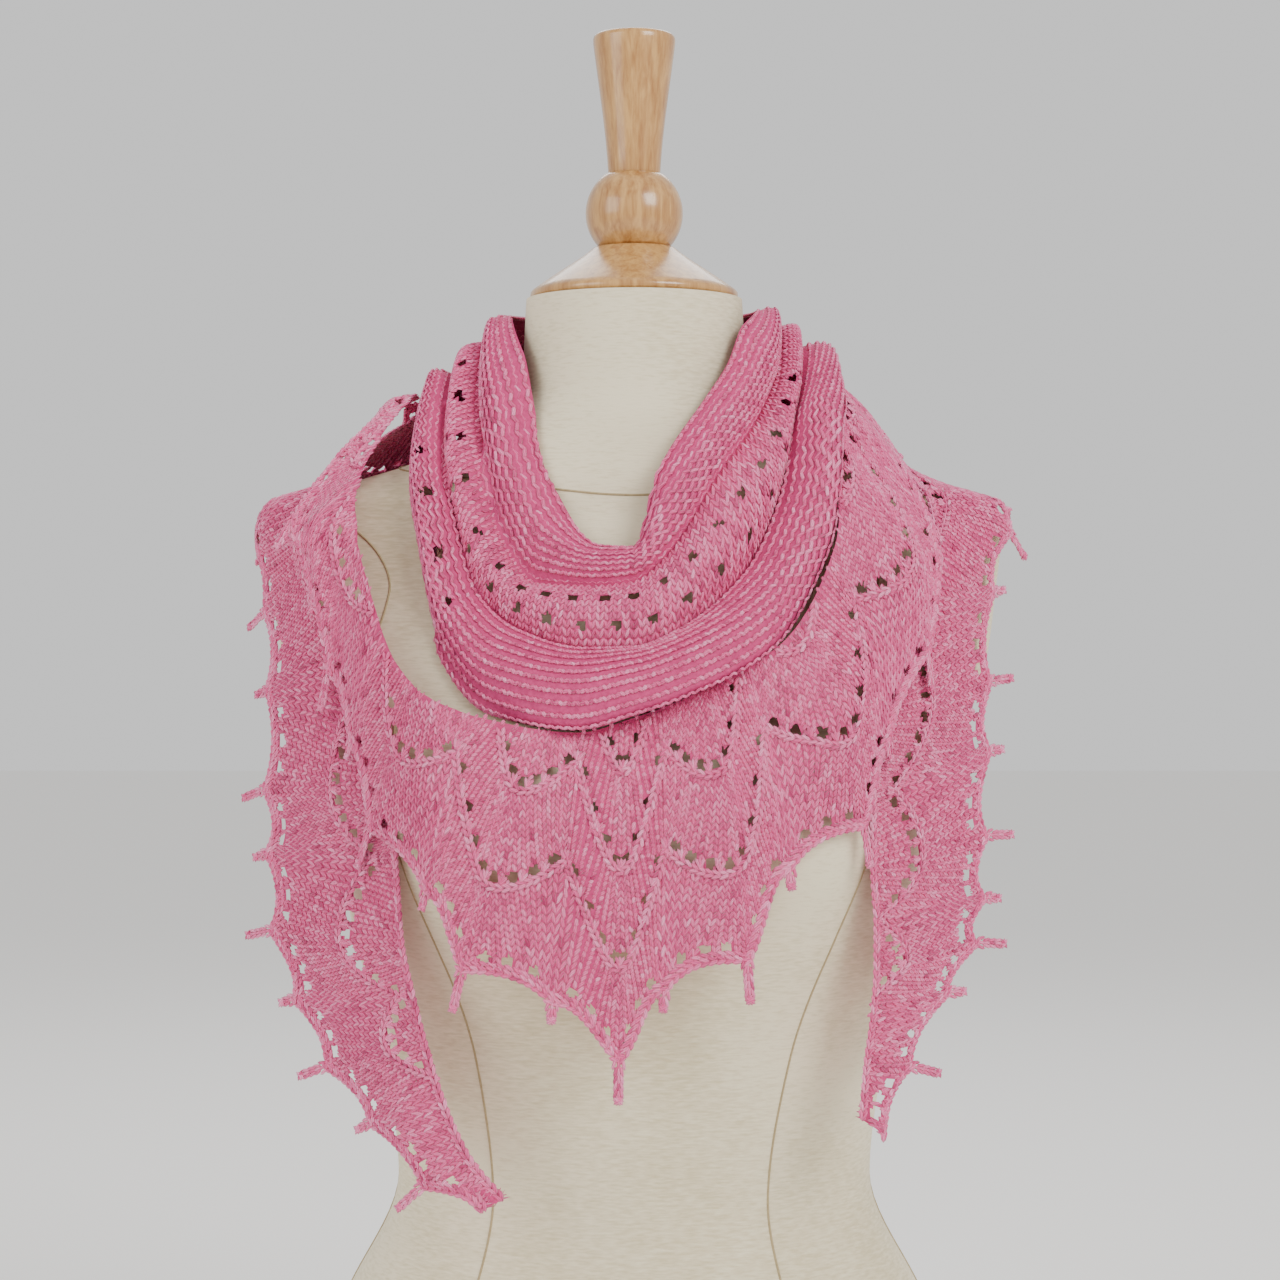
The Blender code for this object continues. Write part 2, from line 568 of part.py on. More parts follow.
def build_bib(collection, material):
    hem_height = smooth_curve(BIB_HEM_ROWS, "azimuth", "height")
    hem_lift = smooth_curve(BIB_HEM_ROWS, "azimuth", "lift")
    middle = np.linspace(-50, 50, 33)
    side = np.linspace(middle[-1], BIB_REACH, 11)[1:]
    azimuths = np.concatenate([-side[::-1], middle, side])
    rows = 14
    columns = []
    for azimuth in azimuths:
        start = top_drop(azimuth)
        end = max(drop_at(azimuth, hem_height(azimuth) * MM), start + 0.020)
        base = start_lift(azimuth)
        column = []
        for share in np.linspace(0, 1, rows):
            wave = 0.0016 * sin(radians(azimuth) * 11) * sin(pi * min(share * 1.3, 1)) * (1 - over_front(azimuth))
            lift = base + hem_lift(azimuth) * MM * share + wave + 0.0016 * sin(pi * share)
            column.append(drape_point(azimuth, start + (end - start) * share, lift))
        columns.append(column)
    grid = [list(row) for row in zip(*columns)]
    mids = (azimuths[:-1] + azimuths[1:]) / 2
    wanted = [(int(abs(mids - p["azimuth"]).argmin()), p["length"]) for p in BIB_PICOTS]
    cells = []
    for arc in BIB_ARCS:
        for angle in np.linspace(arc["start"], arc["end"], arc["count"]):
            azimuth = arc["azimuth"] + np.degrees(arc["half"] * MM * cos(radians(angle)) / DRAPE_MEAN_RADIUS)
            height = (arc["height"] + arc["depth"] * sin(radians(angle))) * MM
            cell = nearest_cell(grid, azimuth, height, 1)
            if cell:
                cells.append(cell)
    cloth("bib", grid, WALL, collection, material, apart(cells), add_picots(grid, wanted))


def build_tail(name, rows, collection, material):
    """A hanging end: across from the straight edge to the scalloped hem, down its whole length."""
    for number, row in enumerate(rows):
        row["place"] = number
    curves = {key: smooth_curve(rows, "place", key) for key in rows[0] if key != "place"}
    last = len(rows) - 1
    along_count, across_count = 40, 9
    columns = []
    for step, place in enumerate(np.linspace(0, last, along_count)):
        inner_az, hem_az = curves["inner_az"](place), curves["hem_az"](place)
        inner = drop_at(inner_az, curves["inner_z"](place) * MM)
        hem = drop_at(hem_az, curves["hem_z"](place) * MM)
        free = min(max((place - 2.5) / 2, 0), 1)
        scallop = TAIL_HEM_SCALLOP * abs(cos(pi * TAIL_SCALLOPS * place / last)) * min(place, 1)
        column = []
        for share in np.linspace(0, 1, across_count):
            azimuth = inner_az + (hem_az - inner_az) * share
            azimuth -= np.sign(hem_az) * np.degrees(scallop / 0.17) * share ** 3
            lift = UNDER_LIFT + curves["lift"](place) * MM * share ** 1.5
            lift += 0.004 * free * sin(pi * share) ** 2
            column.append(drape_point(azimuth, inner + (hem - inner) * share, lift))
        columns.append(column)
    grid = [list(row) for row in zip(*columns)]
    wanted = []
    for k in range(1, 2 * TAIL_SCALLOPS):
        column = int(round((along_count - 2) * k / (2 * TAIL_SCALLOPS)))
        if column > 5:
            wanted.append((column, PICOT_LONG if k % 2 else PICOT_SHORT))
    cells = []
    for start in range(8, along_count - 6, 7):
        for across in range(across_count - 1):
            bow = int(round(3 * sin(pi * across / (across_count - 2))))
            if across % 2:
                cells.append((across, start + bow))
    holes = apart([c for c in cells if 1 <= c[0] < across_count - 2 and c[1] < along_count - 3])
    cloth(name, grid, WALL, collection, material, holes, add_picots(grid, wanted))


def build_wing(name, rows, first, last, collection, material):
    """A stretch behind the shoulders, from its top edge down to its hem."""
    curves = {key: smooth_curve(rows, "azimuth", key) for key in ("top_z", "hem_z", "over")}
    lower_tops = [row for row in rows if row["top_z"] > 0]
    columns = []
    count = 32
    row_count = 9
    for azimuth in np.linspace(first, last, count):
        covered = top_drop(azimuth) + WING_SETBACK
        start = covered
        if lower_tops:
            rail = smooth_curve([dict(azimuth=r["azimuth"], top_z=r["top_z"] or 600) for r in rows], "azimuth", "top_z")
            start = max(covered, drop_at(azimuth, rail(azimuth) * MM))
        end = drop_at(azimuth, curves["hem_z"](azimuth) * MM)
        lift = UNDER_LIFT + (OVER_LIFT - UNDER_LIFT) * curves["over"](azimuth)
        wave = abs(cos(radians(azimuth - 180) * 4.5))
        column = []
        for share in np.linspace(0, 1, row_count):
            reach = (end - start) * share - 0.006 * wave * share ** 2
            column.append(drape_point(azimuth, start + reach, lift + 0.0016 * sin(pi * share) * curves["over"](azimuth)))
        columns.append(column)
    grid = [list(row) for row in zip(*columns)]
    wanted = [(column, PICOT_LONG if k % 2 else PICOT_SHORT) for k, column in enumerate(range(4, count - 4, 4))]
    holes = apart([(r, c) for r, shift in ((3, 0), (6, 1)) for c in range(5 + shift, count - 5, 3)])
    cloth(name, grid, WALL, collection, material, holes, add_picots(grid, wanted))


def main():
    clear_scene()
    collection = bpy.data.collections.new("shawl on a dress form")
    bpy.context.scene.collection.children.link(collection)
    linen = make_material("linen cover", LINEN, 0.85)
    beech = make_material("lacquered beech", BEECH, 0.32)
    pink = make_material("pink cotton yarn", PINK, 0.7)
    build_form(collection, linen)
    build_wood(collection, beech)
    build_folds(collection, pink)
    build_bib(collection, pink)
    build_tail("left_tail", LEFT_TAIL_ROWS, collection, pink)
    build_tail("right_tail", RIGHT_TAIL_ROWS, collection, pink)
    build_wing("right_wing", RIGHT_WING_ROWS, 97.25, 262.75, collection, pink)
    build_wing("left_wing", LEFT_WING_ROWS, 262.55, 97.25, collection, pink)


main()
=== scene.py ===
# Hand-knit lace shawl, worn as a kerchief on a linen dress form with a beech neck cap
import math
import bpy
import numpy as np
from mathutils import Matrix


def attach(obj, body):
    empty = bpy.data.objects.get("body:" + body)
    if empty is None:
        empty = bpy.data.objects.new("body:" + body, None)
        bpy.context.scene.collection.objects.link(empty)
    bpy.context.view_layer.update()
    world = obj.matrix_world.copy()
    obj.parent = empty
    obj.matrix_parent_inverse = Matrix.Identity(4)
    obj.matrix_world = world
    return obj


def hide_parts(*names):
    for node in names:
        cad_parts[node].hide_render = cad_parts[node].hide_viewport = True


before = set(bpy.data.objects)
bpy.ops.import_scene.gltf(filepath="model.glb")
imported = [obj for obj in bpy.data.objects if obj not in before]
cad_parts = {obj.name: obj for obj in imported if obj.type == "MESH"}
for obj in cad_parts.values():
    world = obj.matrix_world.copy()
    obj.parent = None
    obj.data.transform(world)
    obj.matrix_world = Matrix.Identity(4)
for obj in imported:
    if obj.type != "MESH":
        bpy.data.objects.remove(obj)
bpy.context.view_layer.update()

mm = 0.001

# The camera stands level in front of the form, as in the photo
cameraLook = dict(place=(0.003, -1.5, 0.4756), lens=81.2, sensor=36.0)
camera = bpy.data.cameras.new("frontCamera")
camera.lens = cameraLook["lens"]
camera.sensor_width = cameraLook["sensor"]
cameraObject = bpy.data.objects.new("frontCamera", camera)
cameraObject.location = cameraLook["place"]
cameraObject.rotation_euler = (math.radians(90), 0, 0)
bpy.context.scene.collection.objects.link(cameraObject)
bpy.context.scene.camera = cameraObject


# Small helpers

def linearColour(hexText):
    parts = [int(hexText[i:i + 2], 16) / 255 for i in (1, 3, 5)]
    return tuple(p / 12.92 if p <= 0.04045 else ((p + 0.055) / 1.055) ** 2.4 for p in parts) + (1.0,)


def addNode(tree, kind, settings=None, values=None, links=None):
    node = tree.nodes.new(kind)
    for name, value in (settings or {}).items():
        setattr(node, name, value)
    for name, value in (values or {}).items():
        node.inputs[name].default_value = value
    for name, source in (links or {}).items():
        tree.links.new(source, node.inputs[name])
    return node


def newMaterial(name):
    material = bpy.data.materials.new(name)
    material.use_nodes = True
    return material, material.node_tree, material.node_tree.nodes["Principled BSDF"]


def meshObject(name, points, faces, material, smooth=True):
    mesh = bpy.data.meshes.new(name)
    mesh.from_pydata([tuple(p) for p in points], [], faces)
    mesh.validate()
    mesh.materials.append(material)
    if smooth:
        mesh.shade_smooth()
    thing = bpy.data.objects.new(name, mesh)
    bpy.context.scene.collection.objects.link(thing)
    return thing


def railCurve(rows, key, value):        # a monotone cubic through one column of a table
    order = sorted(rows, key=lambda row: row[key])
    xs = np.array([row[key] for row in order], float)
    ys = np.array([row[value] for row in order], float)
    steps = np.diff(xs)
    slopes = np.diff(ys) / steps
    tangents = np.zeros(len(xs))
    tangents[0], tangents[-1] = slopes[0], slopes[-1]
    for i in range(1, len(xs) - 1):
        if slopes[i - 1] * slopes[i] > 0:
            tangents[i] = 2 * slopes[i - 1] * slopes[i] / (slopes[i - 1] + slopes[i])

    def at(x):
        x = np.clip(np.asarray(x, float), xs[0], xs[-1])
        i = np.clip(np.searchsorted(xs, x) - 1, 0, len(xs) - 2)
        t = (x - xs[i]) / steps[i]
        return ((1 + 2 * t) * (1 - t) ** 2 * ys[i] + t * (1 - t) ** 2 * steps[i] * tangents[i]
                + t * t * (3 - 2 * t) * ys[i + 1] + t * t * (t - 1) * steps[i] * tangents[i + 1])
    return at


# Materials

yarnLook = dict(deep="#B21F5E", mid="#EC5C95", light="#FF9CC4", roughness=0.55, sheen=0.25, plyBump=0.45)
linenLook = dict(cover="#E6DABB", thread="#CDBF9A", threadSpacing=0.0011, roughness=0.85)
beechLook = dict(pale="#C99A5B", dark="#9A6530", ring=0.004, roughness=0.28)


def yarnMaterial():      # plied mercerised cotton, dyed unevenly: satin strands with a twist, the twist bumped and striped with painted highlight and shade
    material, tree, shader = newMaterial("pliedPinkCotton")
    tint = addNode(tree, "ShaderNodeAttribute", {"attribute_name": "tint"})
    ramp = addNode(tree, "ShaderNodeValToRGB", links={"Fac": tint.outputs["Fac"]})
    ramp.color_ramp.elements[0].color = linearColour(yarnLook["deep"])
    ramp.color_ramp.elements[1].color = linearColour(yarnLook["light"])
    middle = ramp.color_ramp.elements.new(0.5)
    middle.color = linearColour(yarnLook["mid"])
    ply = addNode(tree, "ShaderNodeAttribute", {"attribute_name": "ply"})
    split = addNode(tree, "ShaderNodeSeparateXYZ", links={"Vector": ply.outputs["Vector"]})
    turn = addNode(tree, "ShaderNodeMath", {"operation": "MULTIPLY_ADD"}, {1: 2.0},
                   {0: split.outputs["X"], 2: split.outputs["Y"]})
    wave = addNode(tree, "ShaderNodeMath", {"operation": "SINE"})
    phase = addNode(tree, "ShaderNodeMath", {"operation": "MULTIPLY"}, {1: 4 * math.pi}, {0: turn.outputs[0]})
    tree.links.new(phase.outputs[0], wave.inputs[0])
    bump = addNode(tree, "ShaderNodeBump", values={"Strength": yarnLook["plyBump"], "Distance": 0.0006},
                   links={"Height": wave.outputs[0]})
    # painted highlight and shade: light and dark stripes along the ply twist, multiplied into the dyed pink
    shade = addNode(tree, "ShaderNodeMapRange",
                    values={"From Min": -1, "From Max": 1, "To Min": 0.78, "To Max": 1.12},
                    links={"Value": wave.outputs[0]})
    dyeWithPaintedPlyShade = addNode(tree, "ShaderNodeMix", {"data_type": "RGBA", "blend_type": "MULTIPLY"}, {0: 1.0},
                    {6: ramp.outputs["Color"], 7: shade.outputs["Result"]})
    tree.links.new(dyeWithPaintedPlyShade.outputs[2], shader.inputs["Base Color"])
    tree.links.new(bump.outputs["Normal"], shader.inputs["Normal"])
    shader.inputs["Roughness"].default_value = yarnLook["roughness"]
    shader.inputs["Sheen Weight"].default_value = yarnLook["sheen"]
    shader.inputs["Specular IOR Level"].default_value = 0.4
    return material


def shadedInnerYarnMaterial():     # the strands behind, seen between the ribs: pink painted darker for the shade between the ribs, matt
    material, tree, shader = newMaterial("innerPinkCottonPaintedShade")
    place = addNode(tree, "ShaderNodeTexCoord")
    noise = addNode(tree, "ShaderNodeTexNoise", values={"Scale": 420.0, "Detail": 3.0},
                    links={"Vector": place.outputs["Object"]})
    ramp = addNode(tree, "ShaderNodeValToRGB", links={"Fac": noise.outputs["Fac"]})
    # deep pinks: painted shade between the ribs, mottled by the noise
    ramp.color_ramp.elements[0].color = linearColour("#A01C52")
    ramp.color_ramp.elements[1].color = linearColour("#DB4A86")
    bump = addNode(tree, "ShaderNodeBump", values={"Strength": 0.6, "Distance": 0.001},
                   links={"Height": noise.outputs["Fac"]})
    tree.links.new(ramp.outputs["Color"], shader.inputs["Base Color"])
    tree.links.new(bump.outputs["Normal"], shader.inputs["Normal"])
    shader.inputs["Roughness"].default_value = 0.8
    return material


def linenMaterial():     # tightly stretched linen jersey: faint level threads, no gloss
    material, tree, shader = newMaterial("creamLinenCover")
    place = addNode(tree, "ShaderNodeTexCoord")
    stretch = addNode(tree, "ShaderNodeMapping",
                      values={"Scale": (160.0, 160.0, 1 / linenLook["threadSpacing"])},
                      links={"Vector": place.outputs["Object"]})
    threads = addNode(tree, "ShaderNodeTexNoise", values={"Scale": 1.0, "Detail": 2.0},
                      links={"Vector": stretch.outputs["Vector"]})
    soft = addNode(tree, "ShaderNodeTexNoise", values={"Scale": 9.0, "Detail": 2.0},
                   links={"Vector": place.outputs["Object"]})
    blend = addNode(tree, "ShaderNodeMath", {"operation": "MULTIPLY_ADD"}, {1: 0.75},
                    {0: threads.outputs["Fac"], 2: soft.outputs["Fac"]})
    ramp = addNode(tree, "ShaderNodeValToRGB", links={"Fac": blend.outputs[0]})
    ramp.color_ramp.elements[0].position = 0.65
    ramp.color_ramp.elements[1].position = 1.1
    ramp.color_ramp.elements[0].color = linearColour(linenLook["thread"])
    ramp.color_ramp.elements[1].color = linearColour(linenLook["cover"])
    bump = addNode(tree, "ShaderNodeBump", values={"Strength": 0.35, "Distance": 0.0006},
                   links={"Height": threads.outputs["Fac"]})
    tree.links.new(ramp.outputs["Color"], shader.inputs["Base Color"])
    tree.links.new(bump.outputs["Normal"], shader.inputs["Normal"])
    shader.inputs["Roughness"].default_value = linenLook["roughness"]
    shader.inputs["Sheen Weight"].default_value = 0.15
    return material


def seamMaterial():      # thread of the covers' seams, a shade darker than the linen
    material, tree, shader = newMaterial("linenSeamThread")
    place = addNode(tree, "ShaderNodeTexCoord")
    noise = addNode(tree, "ShaderNodeTexNoise",
                    values={"Scale": 600.0}, links={"Vector": place.outputs["Object"]})
    ramp = addNode(tree, "ShaderNodeValToRGB", links={"Fac": noise.outputs["Fac"]})
    ramp.color_ramp.elements[0].color = linearColour("#8F7E5A")
    ramp.color_ramp.elements[1].color = linearColour("#B9A67E")
    tree.links.new(ramp.outputs["Color"], shader.inputs["Base Color"])
    shader.inputs["Roughness"].default_value = 0.9
    return material


def beechMaterial():     # turned beech under satin lacquer: long grain with short dark flecks
    material, tree, shader = newMaterial("lacqueredBeech")
    place = addNode(tree, "ShaderNodeTexCoord")
    along = addNode(tree, "ShaderNodeMapping", values={"Scale": (1.0, 1.0, 0.12)},
                    links={"Vector": place.outputs["Object"]})
    grain = addNode(tree, "ShaderNodeTexNoise",
                    values={"Scale": 1 / beechLook["ring"], "Detail": 6.0, "Distortion": 0.6},
                    links={"Vector": along.outputs["Vector"]})
    flecks = addNode(tree, "ShaderNodeTexNoise", values={"Scale": 900.0, "Detail": 2.0},
                     links={"Vector": along.outputs["Vector"]})
    blend = addNode(tree, "ShaderNodeMath", {"operation": "MULTIPLY_ADD"}, {1: 0.35},
                    {0: flecks.outputs["Fac"], 2: grain.outputs["Fac"]})
    ramp = addNode(tree, "ShaderNodeValToRGB", links={"Fac": blend.outputs[0]})
    ramp.color_ramp.elements[0].position = 0.42
    ramp.color_ramp.elements[1].position = 0.85
    ramp.color_ramp.elements[0].color = linearColour(beechLook["dark"])
    ramp.color_ramp.elements[1].color = linearColour(beechLook["pale"])
    tree.links.new(ramp.outputs["Color"], shader.inputs["Base Color"])
    shader.inputs["Roughness"].default_value = beechLook["roughness"]
    shader.inputs["Coat Weight"].default_value = 0.5
    shader.inputs["Coat Roughness"].default_value = 0.15
    return material


yarn = yarnMaterial()
shadedInnerYarn = shadedInnerYarnMaterial()
linen = linenMaterial()
seamThread = seamMaterial()
beech = beechMaterial()
print("materials made")


# Dress form, the same sections as the solid

formRows = [
    dict(height=0.000, halfWidth=0.172, front=0.115, back=0.122, power=2.3),
    dict(height=0.060, halfWidth=0.171, front=0.114, back=0.122, power=2.3),
    dict(height=0.130, halfWidth=0.152, front=0.104, back=0.108, power=2.3),
    dict(height=0.200, halfWidth=0.122, front=0.087, back=0.082, power=2.2),
    dict(height=0.270, halfWidth=0.131, front=0.098, back=0.086, power=2.2),
    dict(height=0.330, halfWidth=0.146, front=0.116, back=0.095, power=2.2),
    dict(height=0.380, halfWidth=0.155, front=0.126, back=0.103, power=2.2),
    dict(height=0.430, halfWidth=0.168, front=0.117, back=0.108, power=2.2),
    dict(height=0.465, halfWidth=0.182, front=0.101, back=0.105, power=2.3),
    dict(height=0.500, halfWidth=0.187, front=0.079, back=0.096, power=2.3),
    dict(height=0.528, halfWidth=0.190, front=0.066, back=0.083, power=2.2),
    dict(height=0.543, halfWidth=0.186, front=0.060, back=0.073, power=2.1),
    dict(height=0.556, halfWidth=0.150, front=0.060, back=0.066, power=2.0),
    dict(height=0.570, halfWidth=0.106, front=0.059, back=0.061, power=2.0),
    dict(height=0.586, halfWidth=0.073, front=0.059, back=0.059, power=2.0),
    dict(height=0.605, halfWidth=0.059, front=0.057, back=0.057, power=2.0),
    dict(height=0.652, halfWidth=0.056, front=0.056, back=0.056, power=2.0),
]
bust = dict(azimuth=31.0, height=0.385, rise=0.019, spread=21.0, reach=0.052)
formSides, formStep = 144, 0.004
formHalfWidth = railCurve(formRows, "height", "halfWidth")
formFront = railCurve(formRows, "height", "front")
formBack = railCurve(formRows, "height", "back")
formPower = railCurve(formRows, "height", "power")


def wrap(azimuth):
    return (np.asarray(azimuth, float) + 180) % 360 - 180


def formRadius(azimuth, height):
    turn = np.radians(azimuth)
    reach = np.where(np.cos(turn) > 0, formFront(height), formBack(height))
    power = formPower(height)
    side = np.abs(np.sin(turn)) / formHalfWidth(height)
    depth = np.abs(np.cos(turn)) / reach
    offSide = (np.abs(wrap(azimuth)) - bust["azimuth"]) / bust["spread"]
    offHeight = (height - bust["height"]) / bust["reach"]
    reach = (side ** power + depth ** power) ** (-1 / power)
    return reach + bust["rise"] * np.exp(-offSide ** 2 - offHeight ** 2)


def polar(azimuth, radius, height):
    turn = np.radians(azimuth)
    return np.stack([radius * np.sin(turn), -radius * np.cos(turn), height + 0 * radius], axis=-1)


def gridFaces(rows, columns, closed=False, skip=None):
    faces = []
    last = columns if closed else columns - 1
    for i in range(rows - 1):
        for j in range(last):
            if skip is None or not skip[i, j]:
                n = (j + 1) % columns
                faces.append((i * columns + j, i * columns + n, (i + 1) * columns + n, (i + 1) * columns + j))
    return faces


def makeForm():
    heights = np.arange(0, formRows[-1]["height"] + formStep / 2, formStep)
    azimuths = np.linspace(0, 360, formSides, endpoint=False)
    rings = [polar(azimuths, formRadius(azimuths, h), np.full(formSides, h)) for h in heights]
    points = np.concatenate(rings)
    faces = gridFaces(len(heights), formSides, closed=True)
    faces.append(tuple(range(formSides))[::-1])
    top = (len(heights) - 1) * formSides
    faces.append(tuple(range(top, top + formSides)))
    form = meshObject("linenForm", points, faces, linen)
    form.data.set_sharp_from_angle(angle=math.radians(60))
    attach(form, "root")
    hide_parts("dress_form")


# Seams of the cover: each a run of azimuths and heights, the tube half sunk in the linen
seamLook = dict(radius=0.0006)
seamRows = [
    dict(name="rightPrincess",
         run=[(52, 0.44), (47, 0.35), (44, 0.30), (42, 0.25), (41, 0.20), (40, 0.10), (40, 0.0)]),
    dict(name="leftPrincess",
         run=[(-52, 0.44), (-47, 0.35), (-44, 0.30), (-43, 0.25), (-43, 0.20), (-42, 0.1), (-41, 0.0)]),
    dict(name="rightSide", run=[(92, 0.42), (92, 0.30), (92, 0.20), (92, 0.10), (92, 0.0)]),
    dict(name="leftSide", run=[(-92, 0.42), (-92, 0.30), (-92, 0.20), (-92, 0.10), (-92, 0.0)]),
    dict(name="backMiddle",
         run=[(180, 0.57), (180, 0.45), (180, 0.30), (180, 0.20), (180, 0.10), (180, 0.0)]),
    dict(name="rightBack", run=[(132, 0.50), (136, 0.35), (138, 0.20), (136, 0.10), (135, 0.0)]),
    dict(name="leftBack", run=[(-132, 0.50), (-136, 0.35), (-138, 0.20), (-136, 0.10), (-135, 0.0)]),
    dict(name="neck", run=[(a, 0.566 - 0.018 * math.cos(math.radians(a))) for a in range(-180, 181, 12)]),
    dict(name="rightArm", run=[(65, 0.43), (60, 0.47), (62, 0.50), (75, 0.536), (90, 0.546), (105, 0.536),
                               (118, 0.50), (120, 0.47), (115, 0.43), (90, 0.405), (65, 0.43)]),
    dict(name="leftArm",
         run=[(-65, 0.43), (-60, 0.47), (-62, 0.50), (-75, 0.536), (-90, 0.546), (-105, 0.536),
                              (-118, 0.50), (-120, 0.47), (-115, 0.43), (-90, 0.405), (-65, 0.43)]),
]


def sweep(points, radius, sides):
    ahead = np.gradient(points, axis=0)
    ahead /= np.linalg.norm(ahead, axis=1)[:, None]
    out = points * [1, 1, 0]
    out = out - (out * ahead).sum(1)[:, None] * ahead
    out /= np.linalg.norm(out, axis=1)[:, None]
    side = np.cross(ahead, out)
    turns = np.arange(sides) * 2 * math.pi / sides
    rings = [points + radius * (np.cos(t) * out + np.sin(t) * side) for t in turns]
    return np.stack(rings, axis=1).reshape(-1, 3)


def makeSeams():
    points, faces = [], []
    sides = 6
    for seam in seamRows:
        rows = [dict(place=i, azimuth=a, height=h) for i, (a, h) in enumerate(seam["run"])]
        azimuth, height = railCurve(rows, "place", "azimuth"), railCurve(rows, "place", "height")
        places = np.linspace(0, len(rows) - 1, 14 * (len(rows) - 1) + 1)
        line = polar(azimuth(places), formRadius(azimuth(places), height(places)), height(places))
        line[:, 2] = np.maximum(line[:, 2], seamLook["radius"])
        start = sum(len(p) for p in points)
        points.append(sweep(line, seamLook["radius"], sides))
        rings = len(line)
        for a, b, c, d in gridFaces(rings, sides, closed=True):
            faces.append((start + a, start + b, start + c, start + d))
        faces.append(tuple(start + k for k in range(sides))[::-1])
        faces.append(tuple(start + (rings - 1) * sides + k for k in range(sides)))
    seams = meshObject("linenSeams", np.concatenate(points), faces, seamThread)
    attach(seams, "root")


# Turned wood

neckTop = formRows[-1]["height"]
capProfile = [(0.0, 0.0003), (0.0522, 0.0003), (0.0535, 0.0008), (0.0540, 0.0018), (0.0538, 0.0036),
              (0.0528, 0.0048), (0.0500, 0.0068), (0.0440, 0.0110), (0.0365, 0.0160), (0.0290, 0.0210),
              (0.0240, 0.0246), (0.0222, 0.0262), (0.0212, 0.0270), (0.0, 0.0270)]
ball = dict(radius=0.0253, height=0.697)
finialProfile = [(0.0133, 0.7172), (0.0136, 0.7185), (0.0141, 0.7260), (0.0150, 0.7360), (0.0164, 0.7480),
                 (0.0180, 0.7600), (0.0195, 0.7710), (0.0207, 0.7800), (0.0213, 0.7850), (0.0214, 0.7872),
                 (0.0210, 0.7887), (0.0198, 0.7897), (0.0180, 0.7900), (0.0, 0.7900)]
woodSides = 72


def turned(name, profile, node):
    turns = np.linspace(0, 2 * math.pi, woodSides, endpoint=False)
    points, rings = [], []
    for radius, height in profile:
        count = 1 if radius == 0 else woodSides
        rings.append(range(len(points), len(points) + count))
        points += [(radius * math.cos(t), radius * math.sin(t), height) for t in turns[:count]]
    faces = []
    for low, high in zip(rings[:-1], rings[1:]):
        for k in range(woodSides):
            n = (k + 1) % woodSides
            corners = [low[k % len(low)], low[n % len(low)], high[n % len(high)], high[k % len(high)]]
            faces.append(tuple(dict.fromkeys(corners)))
    piece = meshObject(name, points, faces, beech)
    piece.data.set_sharp_from_angle(angle=math.radians(50))
    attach(piece, "root")
    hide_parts(node)


def makeWood():
    turned("beechCap", [(r, neckTop + z) for r, z in capProfile], "neck_cap")
    seat = neckTop + capProfile[-1][1] + 0.0003
    start = math.asin((seat - ball["height"]) / ball["radius"])
    end = math.asin((finialProfile[0][1] - ball["height"]) / ball["radius"])
    arc = [(ball["radius"] * math.cos(t), ball["height"] + ball["radius"] * math.sin(t))
           for t in np.linspace(start, end, 25)]
    turned("beechFinial", [(0.0, seat)] + arc + finialProfile, "finial")


makeForm()
makeSeams()
makeWood()
print("form and wood made")


# The drape under the cloth: the form's outside, bridged from the neck, hung from shoulders and bust

drapeStart = dict(radius=0.066, height=0.640)
drapeSlope = dict(front=0.27, right=0.90, left=1.02, back=0.42, power=3)
shoulderEase = dict(rise=0.0042, height=0.540, reach=0.022, spread=42)
underLift, overLift = 0.0019, 0.0066
azimuthStep, dropStep = 3.0, 0.003
azimuthList = np.arange(-180, 181, azimuthStep)
heightList = np.linspace(0.652, 0.15, 168)


def slopeAt(azimuth):
    side = math.sin(math.radians(azimuth))
    base = drapeSlope["front"] if math.cos(math.radians(azimuth)) > 0 else drapeSlope["back"]
    base += (drapeSlope["front"] + drapeSlope["back"] - 2 * base) / 2 * abs(side)
    shoulder = drapeSlope["right"] if side > 0 else drapeSlope["left"]
    return base + (shoulder - base) * abs(side) ** drapeSlope["power"]


def drapeTables():
    radii = np.zeros((len(azimuthList), len(heightList)))
    for i, azimuth in enumerate(azimuthList):
        form = formRadius(azimuth, heightList)
        bridge = drapeStart["radius"] + (drapeStart["height"] - heightList) * slopeAt(azimuth)
        radii[i] = np.maximum.accumulate(np.maximum(form, np.minimum(bridge, form[heightList > 0.36].max())))
        nearSide = math.exp(-((abs(azimuth) - 90) / shoulderEase["spread"]) ** 2)
        nearTip = np.exp(-((heightList - shoulderEase["height"]) / shoulderEase["reach"]) ** 2)
        radii[i] += shoulderEase["rise"] * nearSide * nearTip
    soft = radii.copy()
    for _ in range(2):
        padded = np.pad(soft, ((0, 0), (3, 3)), mode="edge")
        soft = sum(padded[:, k:k + len(heightList)] for k in range(7)) / 7
        wrapped = np.vstack([soft[-3:-1], soft, soft[1:3]])
        soft = sum(wrapped[k:k + len(azimuthList)] for k in range(5)) / 5
        soft = np.maximum(soft, radii)
    lengths = np.hypot(np.diff(soft, axis=1), np.diff(heightList)[None, :])
    drops = np.hstack([np.zeros((len(azimuthList), 1)), np.cumsum(lengths, axis=1)])
    even = np.arange(0, drops[:, -1].min(), dropStep)
    radiusTable = np.array([np.interp(even, drops[i], soft[i]) for i in range(len(azimuthList))])
    heightTable = np.array([np.interp(even, drops[i], heightList) for i in range(len(azimuthList))])
    return radiusTable, heightTable, drops


radiusTable, heightTable, dropTable = drapeTables()


